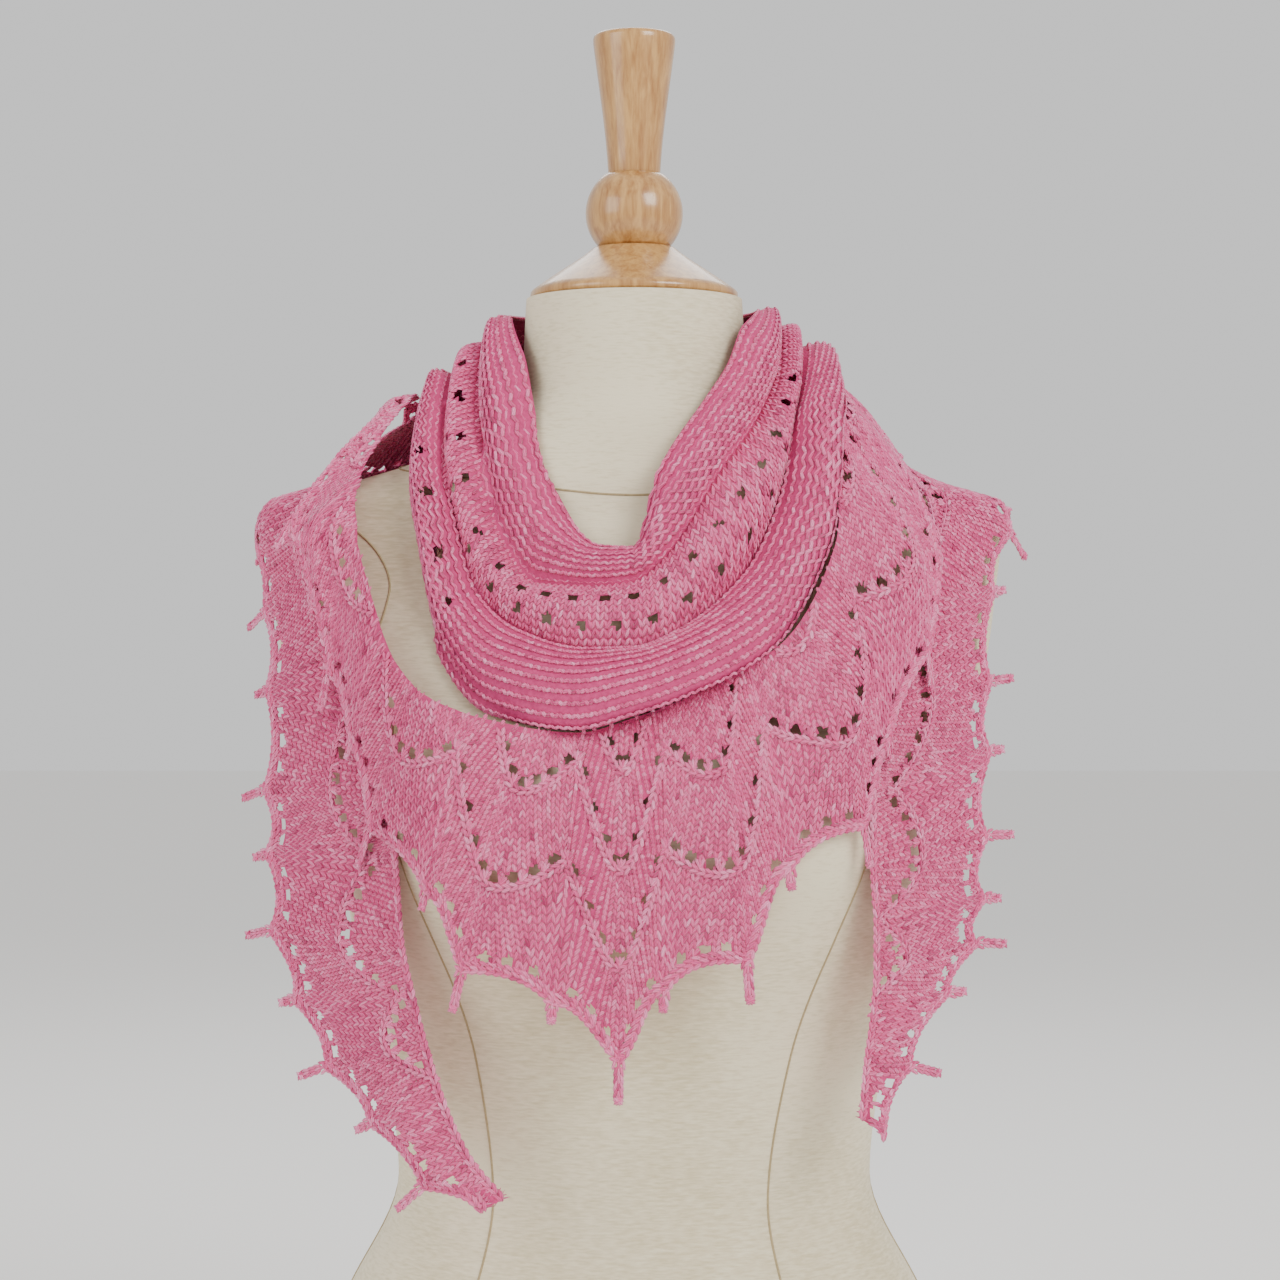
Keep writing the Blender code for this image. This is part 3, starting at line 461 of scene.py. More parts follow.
def readTable(table, azimuth, place):
    column = (wrap(azimuth) + 180) / azimuthStep
    i = np.clip(column.astype(int), 0, table.shape[0] - 2)
    j = np.clip(np.asarray(place).astype(int), 0, table.shape[1] - 2)
    u, v = column - i, np.clip(place - j, -1, 2)
    return ((table[i, j] * (1 - u) + table[i + 1, j] * u) * (1 - v)
            + (table[i, j + 1] * (1 - u) + table[i + 1, j + 1] * u) * v)


def dropAt(azimuth, height):
    place = (heightList[0] - np.asarray(height, float)) / (heightList[0] - heightList[1])
    return readTable(dropTable, np.asarray(azimuth, float), place)


def drapePoint(azimuth, drop, lift):
    azimuth, drop = np.asarray(azimuth, float), np.asarray(drop, float)
    radius = readTable(radiusTable, azimuth, drop / dropStep)
    height = readTable(heightTable, azimuth, drop / dropStep)
    near = 0.006
    dr = readTable(radiusTable, azimuth, (drop + near) / dropStep) - readTable(
        radiusTable, azimuth, np.maximum(drop - near, 0) / dropStep)
    dz = readTable(heightTable, azimuth, np.maximum(drop - near, 0) / dropStep) - readTable(
        heightTable, azimuth, (drop + near) / dropStep)
    run = np.hypot(dr, dz)
    return polar(azimuth, radius + lift * dz / run, height + lift * dr / run)


# Folds round the neck

def table(columns, rows):
    return [dict(zip(columns.split(), row)) for row in rows]


foldRows = table("azimuth edgeR edgeZ firstR firstZ secondR secondZ lowR lowZ", [
    (-180, 58, 643, 79, 632, 93, 612, 114, 588),
    (-135, 61, 645, 76, 634, 91, 614, 111, 593),
    (-90, 63, 643, 75, 630, 91, 611, 104, 601),
    (-60, 65, 622, 87, 572, 106, 548, 126, 535),
    (-45, 68, 584, 91, 527, 108, 500, 130, 468),
    (-30, 72, 545, 92, 503, 110, 481, 134, 441),
    (-12, 78, 522, 92, 502, 111, 472, 136, 434),
    (0, 79, 521, 92, 504, 111, 472, 136, 441),
    (10, 75, 562, 90, 516, 110, 479, 136, 449),
    (30, 69, 595, 86, 559, 106, 508, 135, 473),
    (45, 66, 614, 83, 581, 100, 545, 134, 520),
    (60, 64, 636, 80, 602, 92, 587, 121, 587),
    (90, 63, 646, 73, 637, 84, 627, 104, 611),
    (135, 61, 646, 76, 635, 91, 616, 111, 595),
    (180, 58, 643, 79, 632, 93, 612, 114, 588),
])
rails = {name: (railCurve(foldRows, "azimuth", name + "R"), railCurve(foldRows, "azimuth", name + "Z"))
         for name in ("edge", "first", "second", "low")}


def overFront(azimuth):
    return np.clip((np.abs(wrap(azimuth)) - 22) / 16, 0, 1)


def topDrop(azimuth):
    return dropAt(azimuth, rails["low"][1](wrap(azimuth)) * mm - 0.003)


def startLift(azimuth):
    return underLift + (overLift - underLift) * overFront(azimuth)


def foldMap(start, end, bulge, tuck):        # azimuth and share of the section to points
    def at(azimuth, share):
        near = wrap(azimuth)
        lowR, lowZ = rails[start][0](near) * mm, rails[start][1](near) * mm
        highR, highZ = rails[end][0](near) * mm, rails[end][1](near) * mm
        chordR, chordZ = highR - lowR, highZ - lowZ
        chord = np.hypot(chordR, chordZ)
        rise = bulge * np.sin(math.pi * np.clip(share, 0, 1))
        radius = lowR + chordR * share - chordZ / chord * rise
        height = lowZ + chordZ * share + chordR / chord * rise
        under = np.clip(share - 1, 0, 1) * tuck      # past the low bound the roll turns in under itself
        radius = radius - np.clip(share - 1, 0, 1) * chordR - under
        height = height - np.clip(share - 1, 0, 1) * chordZ - under * 0.15
        floor = formRadius(near, height - 0.0025) + 0.0025
        return polar(azimuth, np.maximum(radius, floor), height)
    return at


# Stretches laid on the drape: rows by fan number, hem cusps at whole and half numbers

bibRows = table("fan hemAz hemZ topAz lift", [
    (-5.5, -97, 591, -97, 5),
    (-5.0, -86, 590, -90, 6),
    (-4.5, -76, 568, -82, 6),
    (-4.0, -70, 530, -74, 7),
    (-3.5, -65, 498, -66, 6),
    (-3.0, -62, 460, -58, 4),
    (-2.5, -57, 426, -49, 2),
    (-2.0, -52, 384, -40, 1),
    (-1.5, -38, 356, -30, 1),
    (-1.0, -31, 319, -20, 2),
    (-0.5, -15.5, 304, -11, 2),
    (0.0, -3, 276, -2, 2),
    (0.5, 6, 309, 7, 2),
    (1.0, 21, 324, 16, 2),
    (1.5, 28, 367, 25, 2),
    (2.0, 43, 386, 34, 1),
    (2.5, 49, 426, 44, 1),
    (3.0, 60, 470, 55, 2),
    (3.5, 66, 527, 65, 2),
    (4.0, 74, 560, 76, 1),
    (4.5, 84, 571, 86, 0),
    (5.0, 97, 570, 97, 0),
])
leftTailRows = table("fan hemAz hemZ topAz topZ lift", [
    (0.0, -97, 541, -97, 587, 0),
    (0.5, -90, 524, -80, 566, 1),
    (1.0, -84, 490, -68, 520, 3),
    (1.5, -80, 450, -58, 460, 7),
    (2.0, -78, 400, -51, 405, 11),
    (2.5, -76, 368, -47, 372, 13),
    (3.0, -74, 330, -45, 330, 14),
    (3.5, -69, 297, -42, 306, 12),
    (4.0, -62, 266, -39, 284, 10),
    (4.5, -51, 242, -35, 257, 8),
    (5.0, -38, 216, -30, 231, 6),
    (5.5, -27, 206, -24, 212, 6),
])
rightTailRows = table("fan hemAz hemZ topAz topZ lift", [
    (0.0, 97, 551, 97, 584, 0),
    (0.5, 91, 545, 84, 572, 1),
    (1.0, 86, 530, 74, 545, 2),
    (1.5, 80, 500, 62, 495, 3),
    (2.0, 77, 455, 52, 440, 6),
    (2.5, 75, 420, 47, 400, 9),
    (3.0, 73, 378, 47, 366, 11),
    (3.5, 72, 347, 48, 340, 12),
    (4.0, 70, 325, 48, 318, 12),
    (4.5, 64, 302, 47, 294, 10),
    (5.0, 55, 268, 45, 270, 8),
    (5.5, 48, 234, 44, 246, 6),
])
rightWingRows = table("azimuth topZ hemZ over", [
    (97, 700, 570, 1.0),
    (120, 700, 548, 1.0),
    (135, 700, 539, 1.0),
    (150, 700, 531, 0.5),
    (165, 700, 523, 0.0),
    (180, 700, 513, 0.0),
    (200, 700, 486, 0.0),
    (220, 700, 466, 0.0),
    (240, 700, 496, 0.0),
    (263, 700, 541, 0.0),
])
leftWingRows = table("azimuth topZ hemZ over", [
    (263, 600, 591, 1.0),
    (245, 600, 560, 1.0),
    (220, 600, 506, 1.0),
    (200, 572, 466, 1.0),
    (180, 548, 430, 1.0),
    (165, 527, 421, 1.0),
    (150, 510, 425, 0.6),
    (135, 508, 446, 0.2),
    (120, 530, 482, 0.0),
    (97, 584, 551, 0.0),
])
hemBow = 0.007
foldRise = 0.0016       # how far the bib and the wings swell between their edges
tailBelly = 0.004       # the same for a hanging tail
wingTop = 0.65          # no wing starts above this height
tips = dict(bib=0.017, tail=0.015, wing=0.014)       # lengths of the long picots


def hemPull(fan):        # the hem bows in between its cusps
    return hemBow * np.abs(np.sin(2 * math.pi * fan)) ** 0.8


class Stretch:       # a piece of cloth between a top rail and a hem rail, read by fan and height over the hem
    def __init__(self, rails, lift, first, last):
        self.rails, self.lift, self.first, self.last = rails, lift, first, last
        self.places = np.linspace(first, last, 200)
        topAz, topD, hemAz, hemD = rails(self.places)
        across = drapePoint(topAz, topD, 0) - drapePoint(hemAz, hemD, 0)
        self.depths = np.maximum(np.linalg.norm(across, axis=1), 0.004)

    def depth(self, fan):
        return np.interp(fan, self.places, self.depths)

    def at(self, fan, up):
        topAz, topD, hemAz, hemD = self.rails(fan)
        share = 1 - up / self.depth(fan)
        azimuth = topAz + (hemAz - topAz) * share
        drop = topD + (hemD - topD) * share
        return drapePoint(azimuth, drop, self.lift(fan, share))


def bibStretch():
    curves = {key: railCurve(bibRows, "fan", key) for key in ("hemAz", "hemZ", "topAz", "lift")}

    def edges(fan):
        topAz, hemAz = curves["topAz"](fan), curves["hemAz"](fan)
        top = topDrop(topAz)
        return topAz, top, hemAz, np.maximum(dropAt(hemAz, curves["hemZ"](fan) * mm), top + 0.018)

    def lift(fan, share):
        base = startLift(curves["topAz"](fan))
        fold = foldRise * np.sin(math.pi * np.clip(share, 0, 1)) * (1 + np.sin(fan * 7.0))
        return base + curves["lift"](fan) * mm * np.clip(share, 0, 1.3) + fold
    return Stretch(edges, lift, bibRows[0]["fan"], bibRows[-1]["fan"])


def tailStretch(rows):
    curves = {key: railCurve(rows, "fan", key) for key in ("hemAz", "hemZ", "topAz", "topZ", "lift")}

    def edges(fan):
        topAz, hemAz = curves["topAz"](fan), curves["hemAz"](fan)
        return topAz, dropAt(topAz, curves["topZ"](fan) * mm), hemAz, dropAt(hemAz, curves["hemZ"](fan) * mm)

    def lift(fan, share):
        inside = np.clip(share, 0, 1)
        free = np.clip((fan - 1.6) / 1.2, 0, 1)
        swing = curves["lift"](fan) * mm * np.clip(share, 0, 1.4) ** 1.5
        belly = tailBelly * free * np.sin(math.pi * inside) ** 2
        return underLift + swing + belly
    return Stretch(edges, lift, rows[0]["fan"], rows[-1]["fan"])


def wingStretch(rows, fans):
    curves = {key: railCurve(rows, "azimuth", key) for key in ("topZ", "hemZ", "over")}
    first, last = rows[0]["azimuth"], rows[-1]["azimuth"]

    def edges(fan):
        azimuth = first + (last - first) * np.asarray(fan, float) / fans
        height = np.minimum(curves["topZ"](azimuth) * mm, wingTop)
        top = np.maximum(topDrop(azimuth) + 0.004, dropAt(azimuth, height))
        return azimuth, top, azimuth, dropAt(azimuth, curves["hemZ"](azimuth) * mm)

    def lift(fan, share):
        azimuth = first + (last - first) * np.asarray(fan, float) / fans
        over = curves["over"](azimuth)
        fold = foldRise * np.sin(math.pi * np.clip(share, 0, 1)) * over
        return underLift + (overLift - underLift) * over + fold
    return Stretch(edges, lift, 0.0, float(fans))


# Strands of yarn: one point for each leg of a stitch, drawn by the node tree as a spindle

knit = dict(wale=0.0043, course=0.0033, eyelet=0.0031, eyelets=8,
            tierHeight=0.046, firstArc=0.044, arcRise=0.024)
chance = np.random.default_rng(7)


class Strands:
    def __init__(self):
        self.parts = []

    def add(self, points, along, face, length, width, depth=None, bright=0.0):
        count = len(points)
        if count == 0:
            return
        sizes = np.zeros((count, 3))
        sizes[:, 0] = (width if depth is None else depth)
        sizes[:, 1] = width
        sizes[:, 2] = length
        shade = chance.normal(0.52 + bright, 0.17, count)
        self.parts.append((points, along, face, sizes / 2, np.clip(shade, 0, 1)))

    def joined(self):
        return [np.concatenate([part[i] for part in self.parts]) for i in range(5)]


def unit(vectors):
    return vectors / np.maximum(np.linalg.norm(vectors, axis=-1), 1e-9)[..., None]


def outward(across, along, points):
    face = unit(np.cross(across, along))
    towards = points * [1, 1, 0]
    towards = unit(towards) + np.array([0, 0, 0.35])
    return face * np.sign((face * towards).sum(-1))[..., None]


def clearHoles(points, holes, radius, extra):
    if len(holes) == 0 or len(points) == 0:
        return points, np.ones(len(points), bool)
    gaps = points[:, None, :] - holes[None, :, :]
    distance = np.linalg.norm(gaps, axis=2)
    nearest = distance.argmin(1)
    reach = distance[np.arange(len(points)), nearest]
    way = unit(gaps[np.arange(len(points)), nearest])
    pushed = np.where(reach < radius * 1.7, radius + extra + (reach - 0.7 * radius) * 0.6, reach)
    return points + way * (np.maximum(pushed, reach) - reach)[:, None], reach > radius * 0.7


def stitchField(strands, mapping, i, f, di, df, holes, style):
    here = mapping(i, f)
    along = (mapping(i, f + df) - mapping(i, f - df)) / 2
    across = (mapping(i + di, f) - mapping(i - di, f)) / 2
    face = outward(across, along, here)
    tall = np.linalg.norm(along, axis=1)
    wide = np.linalg.norm(across, axis=1)
    for side in (-1, 1):
        points = here + across * (0.25 * side)
        if style == "garter":
            row = np.where(np.round(f / df).astype(int) % 2 == 0, 1.0, -1.0)
            lean = unit(along) * (0.55 * row)[:, None] + unit(across) * side
            length, width = wide * 0.82, np.minimum(tall * 0.62, 0.0024)
            points = points + face * (0.00045 * row)[:, None]
        else:
            lean = unit(along) + unit(across) * side * 0.42
            length, width = tall * 1.5, np.minimum(wide * 0.52, 0.0024)
        points, kept = clearHoles(points, holes, knit["eyelet"], 0.0004)
        strands.add(points[kept], unit(lean)[kept], face[kept], length[kept], width[kept], width[kept] * 0.95)


def tierArc(fan, tier):      # height over the hem of each eyelet arc: low at a fan's middle, cusped between
    off = np.abs((fan + 0.5) % 1 - 0.5)
    return knit["firstArc"] + knit["tierHeight"] * (tier - 1) + knit["arcRise"] * (2 * off) ** 1.9


def laceField(strands, stretch, holes):
    for middle in range(math.floor(stretch.first + 0.5), math.ceil(stretch.last - 0.5) + 1):
        deepest = stretch.depth(np.linspace(middle - 0.5, middle + 0.5, 9)).max()
        tiers = int(max(0, (deepest - knit["firstArc"]) / knit["tierHeight"])) + 2
        for tier in range(tiers):
            def lower(fan):
                return hemPull(fan) if tier == 0 else tierArc(fan, tier)

            def upper(fan):
                return tierArc(fan, tier + 1)
            level = 0.5 * (lower(middle + 0.25) + upper(middle + 0.25))
            ends = stretch.at(np.array([middle - 0.5, middle + 0.5]).clip(stretch.first, stretch.last), level)
            width = np.linalg.norm(ends[1] - ends[0]) * 1.12
            wales = max(8, int(round(width / knit["wale"])))
            courses = int(round((upper(middle + 0.25) - lower(middle + 0.25)) / knit["course"]))

            def place(i, f):
                t = i / wales - 0.5
                bend = 0.075 * np.sin(2 * math.pi * t) * (1 - 2 * f)
                fan = middle + t + bend
                return fan, lower(fan) + (upper(fan) - lower(fan)) * f

            def mapping(i, f):
                fan, up = place(i, f)
                return stretch.at(fan, up)
            grid = np.array([(i + 0.5, (j + 0.7) / courses) for i in range(wales) for j in range(courses)])
            fan, up = place(grid[:, 0], grid[:, 1])
            kept = (fan > stretch.first) & (fan < stretch.last) & (up < stretch.depth(fan) - 0.001)
            grid = grid[kept]
            if len(grid) == 0:
                continue
            here = stretch.at(fan[kept].mean(), up[kept].mean())
            near = np.linalg.norm(holes - here, axis=1) < 0.12 if len(holes) else []
            close = holes[near] if len(holes) else holes
            stitchField(strands, mapping, grid[:, 0], grid[:, 1], 1.0, 1.0 / courses, close, "rib")


def eyeletPlaces(stretch):
    fans, ups, lines = [], [], []
    for middle in range(math.floor(stretch.first + 0.5), math.ceil(stretch.last - 0.5) + 1):
        for tier in range(1, 6):
            for k in range(knit["eyelets"]):
                t = (k + 0.5) / knit["eyelets"] - 0.5
                fans.append(middle + t * 0.98)
                ups.append(tierArc(middle + t * 0.98, tier) + 0.0042)
        for t in (-0.38, -0.25, -0.12, 0.12, 0.25, 0.38):        # the row just inside the hem
            fans.append(middle + t)
            ups.append(hemPull(middle + t) + 0.0062)
    fans, ups = np.array(fans), np.array(ups)
    kept = (fans > stretch.first + 0.04) & (fans < stretch.last - 0.04)
    fans, ups = fans[kept], ups[kept]
    kept = ups < stretch.depth(fans) - 0.006
    return stretch.at(fans[kept], ups[kept])


def chainLine(strands, points, face, spacing, width, rows, bright=0.08):       # a cord of linked legs
    lengths = np.concatenate([[0], np.cumsum(np.linalg.norm(np.diff(points, axis=0), axis=1))])
    count = max(2, int(lengths[-1] / spacing))
    marks = (np.arange(count) + 0.5) / count * lengths[-1]
    centre = np.stack([np.interp(marks, lengths, points[:, k]) for k in range(3)], axis=1)
    out = unit(np.stack([np.interp(marks, lengths, face[:, k]) for k in range(3)], axis=1))
    ahead = unit(np.gradient(centre, axis=0))
    side = unit(np.cross(out, ahead))
    for row in rows:
        lean = unit(ahead + side * -0.35 * np.sign(row))
        strands.add(centre + side * row * width * 0.42, lean, out, np.full(count, spacing * 1.55),
                    np.full(count, width), np.full(count, width), bright)


def surfaceLine(stretch, fans, ups, raised):
    points = stretch.at(fans, ups)
    across = stretch.at(fans + 0.01, ups) - points
    along = stretch.at(fans, ups + 0.001) - points
    face = outward(across, along, points)
    return points + face * raised, face


def laceTrim(strands, stretch, tipLength):
    for middle in range(math.floor(stretch.first + 0.5), math.ceil(stretch.last - 0.5) + 1):
        for tier in range(1, 6):
            fans = np.linspace(middle - 0.5, middle + 0.5, 60)
            ups = tierArc(fans, tier) - 0.0004
            kept = (fans > stretch.first) & (fans < stretch.last) & (ups < stretch.depth(fans) - 0.001)
            if kept.sum() > 6:
                line, face = surfaceLine(stretch, fans[kept], ups[kept], 0.0008)
                chainLine(strands, line, face, 0.0036, 0.0023, (-1, 1))
            knots = middle + (np.arange(knit["eyelets"] + 1) / knit["eyelets"] - 0.5) * 0.98
            ups = tierArc(knots, tier) + 0.0032
            inside = (knots > stretch.first + 0.01) & (knots < stretch.last - 0.01)
            kept = inside & (ups < stretch.depth(knots) - 0.004)
            if kept.any():
                points, face = surfaceLine(stretch, knots[kept], ups[kept], 0.0008)
                up = unit(stretch.at(knots[kept], ups[kept] + 0.001) - stretch.at(knots[kept], ups[kept]))
                side = np.cross(face, up)
                count = len(points)
                for turn in (-0.45, 0.0, 0.45):
                    lean = unit(up + side * turn)
                    strands.add(points + side * turn * 0.002, lean, face, np.full(count, 0.0062),
                                np.full(count, 0.0020), None, 0.1)
    fans = np.arange(stretch.first, stretch.last + 0.001, 0.02)
    line, face = surfaceLine(stretch, fans, hemPull(fans) + 0.0004, 0.0003)
    chainLine(strands, line, face, 0.0040, 0.0027, (-1, 0.6))
    line, face = surfaceLine(stretch, fans, hemPull(fans) + 0.0022, 0.0003)
    chainLine(strands, line, face, 0.0040, 0.0024, (1,), 0.0)
    for half in range(math.ceil(stretch.first * 2 + 0.2), math.floor(stretch.last * 2 - 0.2) + 1):
        fan = np.array([half / 2])
        long = half % 2 == 0
        point, face = surfaceLine(stretch, fan, np.array([0.0]), 0.0003)
        down = point - stretch.at(fan, np.array([0.004]))
        picot(strands, point[0], unit(unit(down)[0] + [0, 0, -0.25]), face[0], tipLength if long else 0.0065)


def picot(strands, base, way, face, length):     # a looped cord of three strands, knotted at its end
    side = unit(np.cross(face, way))
    steps = max(2, int(length / 0.0032))
    for k in range(steps):
        spread = 1.0 if k > 0 else 1.5
        for row in (-1, 0, 1):
            centre = base + way * (k + 0.35) * length / steps + side * row * 0.0015 * spread
            lean = unit(way + side * 0.25 * row + face * chance.normal(0, 0.08))
            strands.add(centre[None], lean[None], face[None],
                        np.array([0.0060]), np.array([0.0021]), None, 0.1)
    for turn in range(5):
        angle = turn * math.pi / 5
        lean = unit(side * math.cos(angle) + way * math.sin(angle) + face * 0.3 * math.cos(2 * angle))
        centre = base + way * (length + 0.0012) + face * 0.0008 * math.sin(3 * angle)
        strands.add(centre[None], lean[None], face[None], np.array([0.0058]), np.array([0.0025]), None, 0.12)


def edgeChain(strands, stretch, inset):      # the straight edge's finishing cord
    fans = np.arange(stretch.first, stretch.last + 0.001, 0.02)
    line, face = surfaceLine(stretch, fans, stretch.depth(fans) - inset, 0.0004)
    chainLine(strands, line, face, 0.0042, 0.0026, (-1, 1))


def strandTree():
    tree = bpy.data.node_groups.new("yarnStrands", "GeometryNodeTree")
    tree.interface.new_socket("Geometry", in_out="INPUT", socket_type="NodeSocketGeometry")
    for name, value in (("Sides", 4), ("Rings", 3)):
        socket = tree.interface.new_socket(name, in_out="INPUT", socket_type="NodeSocketInt")
        socket.default_value = value
    tree.interface.new_socket("Yarn", in_out="INPUT", socket_type="NodeSocketMaterial")
    tree.interface.new_socket("Geometry", in_out="OUTPUT", socket_type="NodeSocketGeometry")
    source = addNode(tree, "NodeGroupInput")
    read = {}
    for name in ("along", "face", "size"):
        read[name] = addNode(tree, "GeometryNodeInputNamedAttribute",
                             {"data_type": "FLOAT_VECTOR"}, {"Name": name})
    spindle = addNode(tree, "GeometryNodeMeshUVSphere", values={"Radius": 1.0},
                      links={"Segments": source.outputs["Sides"], "Rings": source.outputs["Rings"]})
    marked = addNode(tree, "GeometryNodeStoreNamedAttribute",
                     {"data_type": "FLOAT_VECTOR", "domain": "CORNER"}, {"Name": "ply"},
                     {"Geometry": spindle.outputs["Mesh"], "Value": spindle.outputs["UV Map"]})
    smooth = addNode(tree, "GeometryNodeSetShadeSmooth", links={"Geometry": marked.outputs["Geometry"]})
    turn = addNode(tree, "FunctionNodeAxesToRotation", {"primary_axis": "Z", "secondary_axis": "X"},
                   links={0: read["along"].outputs["Attribute"], 1: read["face"].outputs["Attribute"]})
    copies = addNode(tree, "GeometryNodeInstanceOnPoints", links={
        "Points": source.outputs["Geometry"], "Instance": smooth.outputs["Geometry"],
        "Rotation": turn.outputs[0], "Scale": read["size"].outputs["Attribute"]})
    real = addNode(tree, "GeometryNodeRealizeInstances", links={"Geometry": copies.outputs["Instances"]})
    coloured = addNode(tree, "GeometryNodeSetMaterial", links={
        "Geometry": real.outputs["Geometry"], "Material": source.outputs["Yarn"]})
    addNode(tree, "NodeGroupOutput", links={"Geometry": coloured.outputs["Geometry"]})
    return tree


strandNodes = strandTree()


def drawStrands(name, strands, sides=4, rings=3):
    points, along, face, sizes, tint = strands.joined()
    mesh = bpy.data.meshes.new(name + "Points")
    mesh.from_pydata(points.tolist(), [], [])
    for label, values in (("along", along), ("face", face), ("size", sizes)):
        mesh.attributes.new(label, "FLOAT_VECTOR", "POINT").data.foreach_set("vector", values.ravel())
    mesh.attributes.new("tint", "FLOAT", "POINT").data.foreach_set("value", tint)
    source = bpy.data.objects.new(name + "Points", mesh)
    bpy.context.scene.collection.objects.link(source)
    modifier = source.modifiers.new("strands", "NODES")
    modifier.node_group = strandNodes
    values = {"Sides": sides, "Rings": rings, "Yarn": yarn}
    for item in strandNodes.interface.items_tree:
        if item.in_out == "INPUT" and item.name in values:
            modifier[item.identifier] = values[item.name]
    depsgraph = bpy.context.evaluated_depsgraph_get()
    made = bpy.data.meshes.new_from_object(source.evaluated_get(depsgraph), depsgraph=depsgraph)
    bpy.data.objects.remove(source, do_unlink=True)
    for label in ("along", "face", "size"):
        if label in made.attributes:
            made.attributes.remove(made.attributes[label])
    made.name = name
    piece = bpy.data.objects.new(name, made)
    bpy.context.scene.collection.objects.link(piece)
    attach(piece, "root")
    print(name, "has", len(points), "strands")
    return piece


def shell(name, points, holes, reach, closed=False):     # the strands behind the stitches, as one thin skin, dark with painted shade
    rows, columns = points.shape[:2]
    following = np.roll(points, -1, axis=1) if closed else points[:, 1:]
    first = points if closed else points[:, :-1]
    centres = (first[:-1] + following[:-1] + first[1:] + following[1:]) / 4
    skip = np.zeros(centres.shape[:2], bool)
    for hole in holes:
        skip |= np.linalg.norm(centres - hole, axis=2) < reach
    faces = gridFaces(rows, columns, closed, skip)
    used = sorted({k for face in faces for k in face})
    number = {k: n for n, k in enumerate(used)}
    flat = points.reshape(-1, 3)[used]
    return meshObject(name, flat, [tuple(number[k] for k in face) for face in faces], shadedInnerYarn)


def faceOut(piece):
    mesh = piece.data
    total = sum(p.normal.x * p.center.x + p.normal.y * p.center.y + 0.1 * p.normal.z for p in mesh.polygons)
    if total < 0:
        mesh.flip_normals()


def sheetArea(piece):
    return sum(p.area for p in piece.data.polygons)


def makeStretch(name, stretch, node, tipLength, edge=True):
    holes = eyeletPlaces(stretch)
    span = stretch.at(np.linspace(stretch.first, stretch.last, 60), np.zeros(60))
    columns = int(np.linalg.norm(np.diff(span, axis=0), axis=1).sum() / 0.0024)
    fans = np.linspace(stretch.first, stretch.last, columns)
    depth = stretch.depth(fans)
    rows = int(depth.max() / 0.0026)
    shares = np.linspace(0, 1, rows)[:, None]
    ups = hemPull(fans)[None] + (depth - hemPull(fans))[None] * shares
    grid = stretch.at(np.broadcast_to(fans, ups.shape), ups)
    cloth = shell(name + "Cloth", grid, holes, knit["eyelet"] * 0.95)
    faceOut(cloth)
    strands = Strands()
    laceField(strands, stretch, holes)
    laceTrim(strands, stretch, tipLength)
    if edge:
        edgeChain(strands, stretch, 0.001)
    stitches = drawStrands(name + "Stitches", strands)
    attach(cloth, "root")
    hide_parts(node)
    print(name, "cloth area", round(sheetArea(cloth), 4), "eyelets", len(holes))


def makeFold(name, mapping, nodes, style, holeRows=(), length=1.0):
    azimuths = np.linspace(-180, 180, 240, endpoint=False)
    section = mapping(azimuths, np.full(240, 0.5))
    shares = np.linspace(0, length, 18)
    grid = np.stack([mapping(azimuths, np.full(len(azimuths), s)) for s in shares])
    ring = np.linalg.norm(np.diff(np.vstack([section, section[:1]]), axis=0), axis=1).sum()
    depth = np.linalg.norm(np.diff(grid, axis=0), axis=2).sum(0).mean()
    holes = np.zeros((0, 3))
    if holeRows:
        places = [(np.arange(row["first"], row["last"], row["step"]), row["share"]) for row in holeRows]
        holes = np.concatenate([mapping(turn, np.full(len(turn), share)) for turn, share in places])
    cloth = shell(name + "Cloth", grid, holes, knit["eyelet"] * 0.9, closed=True)
    faceOut(cloth)
    strands = Strands()
    wales = int(ring / knit["wale"])
    courses = int(depth / knit["course"])
    cells = np.array([(i + 0.5, (j + 0.5) / courses * length) for i in range(wales) for j in range(courses)])
    turns = cells[:, 0] / wales * 360 - 180
    stitchField(strands, mapping, turns, cells[:, 1], 360 / wales, length / courses, holes, style)
    stitches = drawStrands(name + "Stitches", strands)
    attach(cloth, "root")
    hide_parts(*nodes)
    print(name, "cloth area", round(sheetArea(cloth), 4))


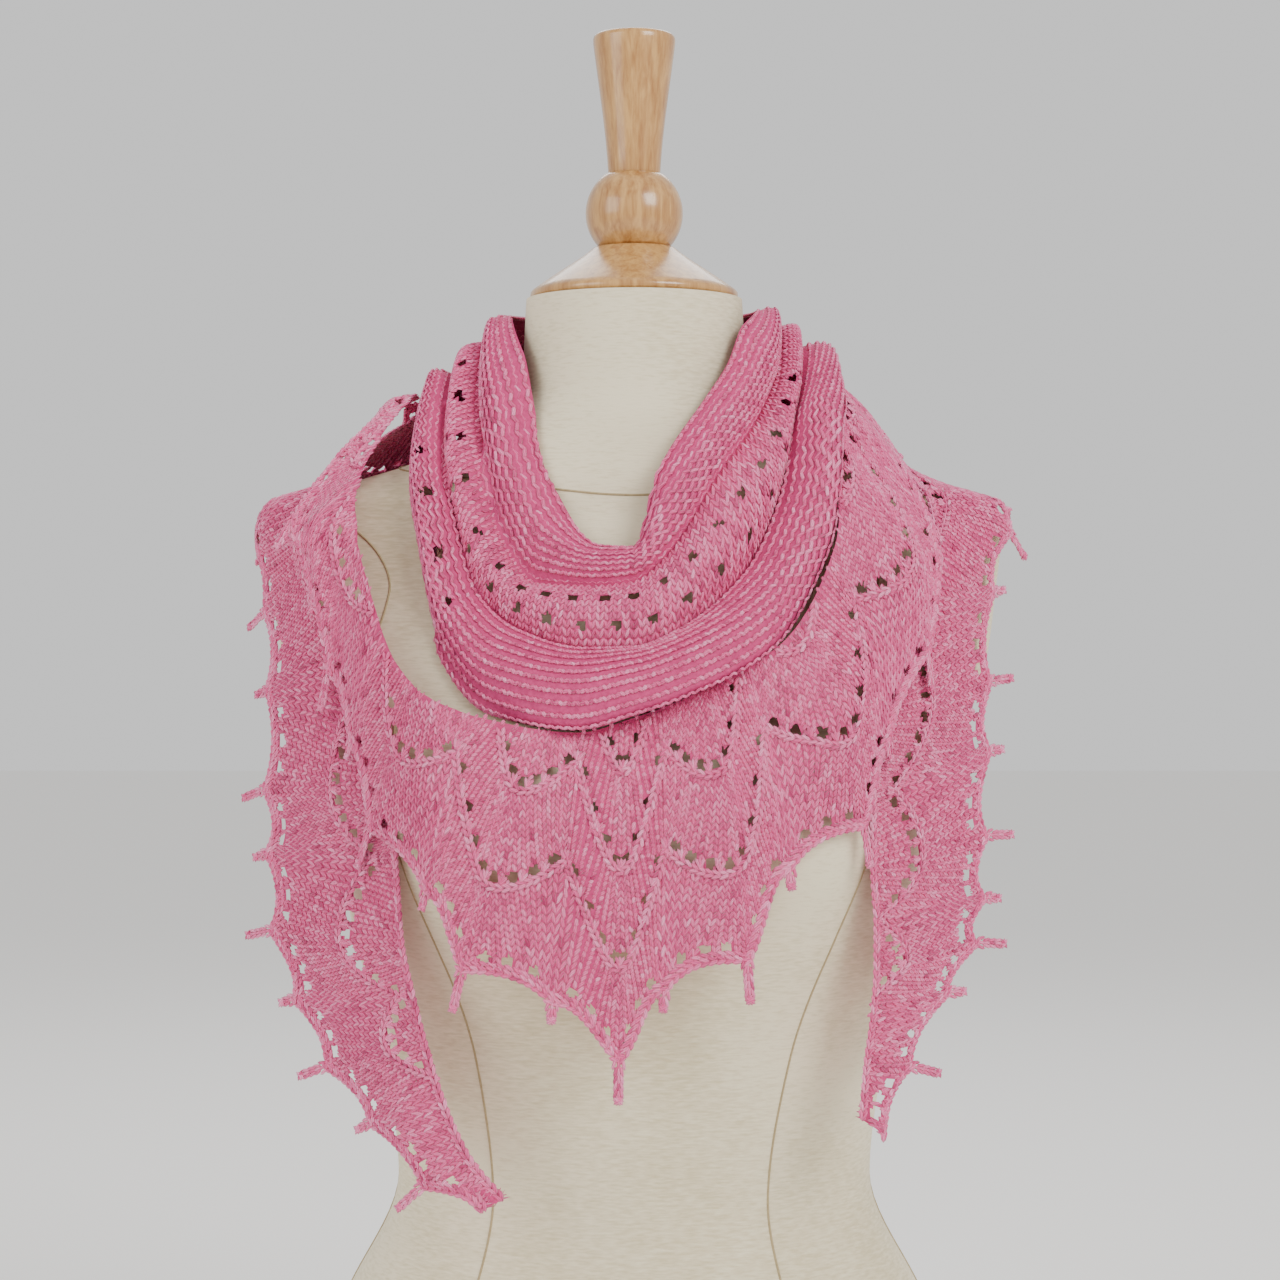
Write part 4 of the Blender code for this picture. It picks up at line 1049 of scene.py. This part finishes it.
neckMap = foldMap("edge", "first", 0.008, 0.0)
secondMap = foldMap("first", "second", 0.009, 0.0)
rollMap = foldMap("second", "low", 0.012, 0.018)
makeFold("neckFold", neckMap, ["neck_fold_front", "neck_fold_back"], "garter")
makeFold("secondFold", secondMap, ["second_fold_front", "second_fold_back"], "rib",
         [dict(first=-80, last=70, step=8, share=0.35), dict(first=-76, last=74, step=9, share=0.75)])
makeFold("roll", rollMap, ["roll_front", "roll_back"], "garter",
         [dict(first=-66, last=-44, step=7, share=0.4)], 1.6)
makeStretch("bib", bibStretch(), "bib",
            tips["bib"], edge=False)
makeStretch("leftTail", tailStretch(leftTailRows), "left_tail",
            tips["tail"])
makeStretch("rightTail", tailStretch(rightTailRows), "right_tail",
            tips["tail"])
makeStretch("rightWing", wingStretch(rightWingRows, 6), "right_wing",
            tips["wing"])
makeStretch("leftWing", wingStretch(leftWingRows, 6), "left_wing",
            tips["wing"])
print("shawl made")


# Floor and lights

stageLook = dict(reach=9.0, floor="#F7F5F2")


def makeStage():
    material, tree, shader = newMaterial("paleFloor")
    shader.inputs["Base Color"].default_value = linearColour(stageLook["floor"])
    shader.inputs["Roughness"].default_value = 0.9
    reach = stageLook["reach"]
    corners = [(-reach, -reach, 0), (reach, -reach, 0), (reach, reach, 0), (-reach, reach, 0)]
    floor = meshObject("floor", corners, [(0, 1, 2, 3)], material, smooth=False)
    world = bpy.data.worlds.new("studio")
    world.use_nodes = True
    world.node_tree.nodes["Background"].inputs["Color"].default_value = (1, 1, 1, 1)
    world.node_tree.nodes["Background"].inputs["Strength"].default_value = 0.85
    bpy.context.scene.world = world


lamps = [
    dict(name="keyRight", place=(1.3, -1.5, 1.7), size=1.0, power=38.0),
    dict(name="fillLeft", place=(-1.6, -1.2, 1.2), size=1.2, power=16.0),
    dict(name="topBack", place=(0.0, 1.4, 1.9), size=1.2, power=14.0),
]


def makeLamps():
    for lamp in lamps:
        light = bpy.data.lights.new(lamp["name"], "AREA")
        light.size = lamp["size"]
        light.energy = lamp["power"]
        thing = bpy.data.objects.new(lamp["name"], light)
        thing.location = lamp["place"]
        target = np.array([0, 0, 0.45]) - np.array(lamp["place"])
        flat = math.hypot(target[0], target[1])
        turn = math.atan2(target[1], target[0]) - math.pi / 2
        thing.rotation_euler = (math.atan2(flat, -target[2]), 0, turn)
        bpy.context.scene.collection.objects.link(thing)


makeStage()
makeLamps()
print("stage set")
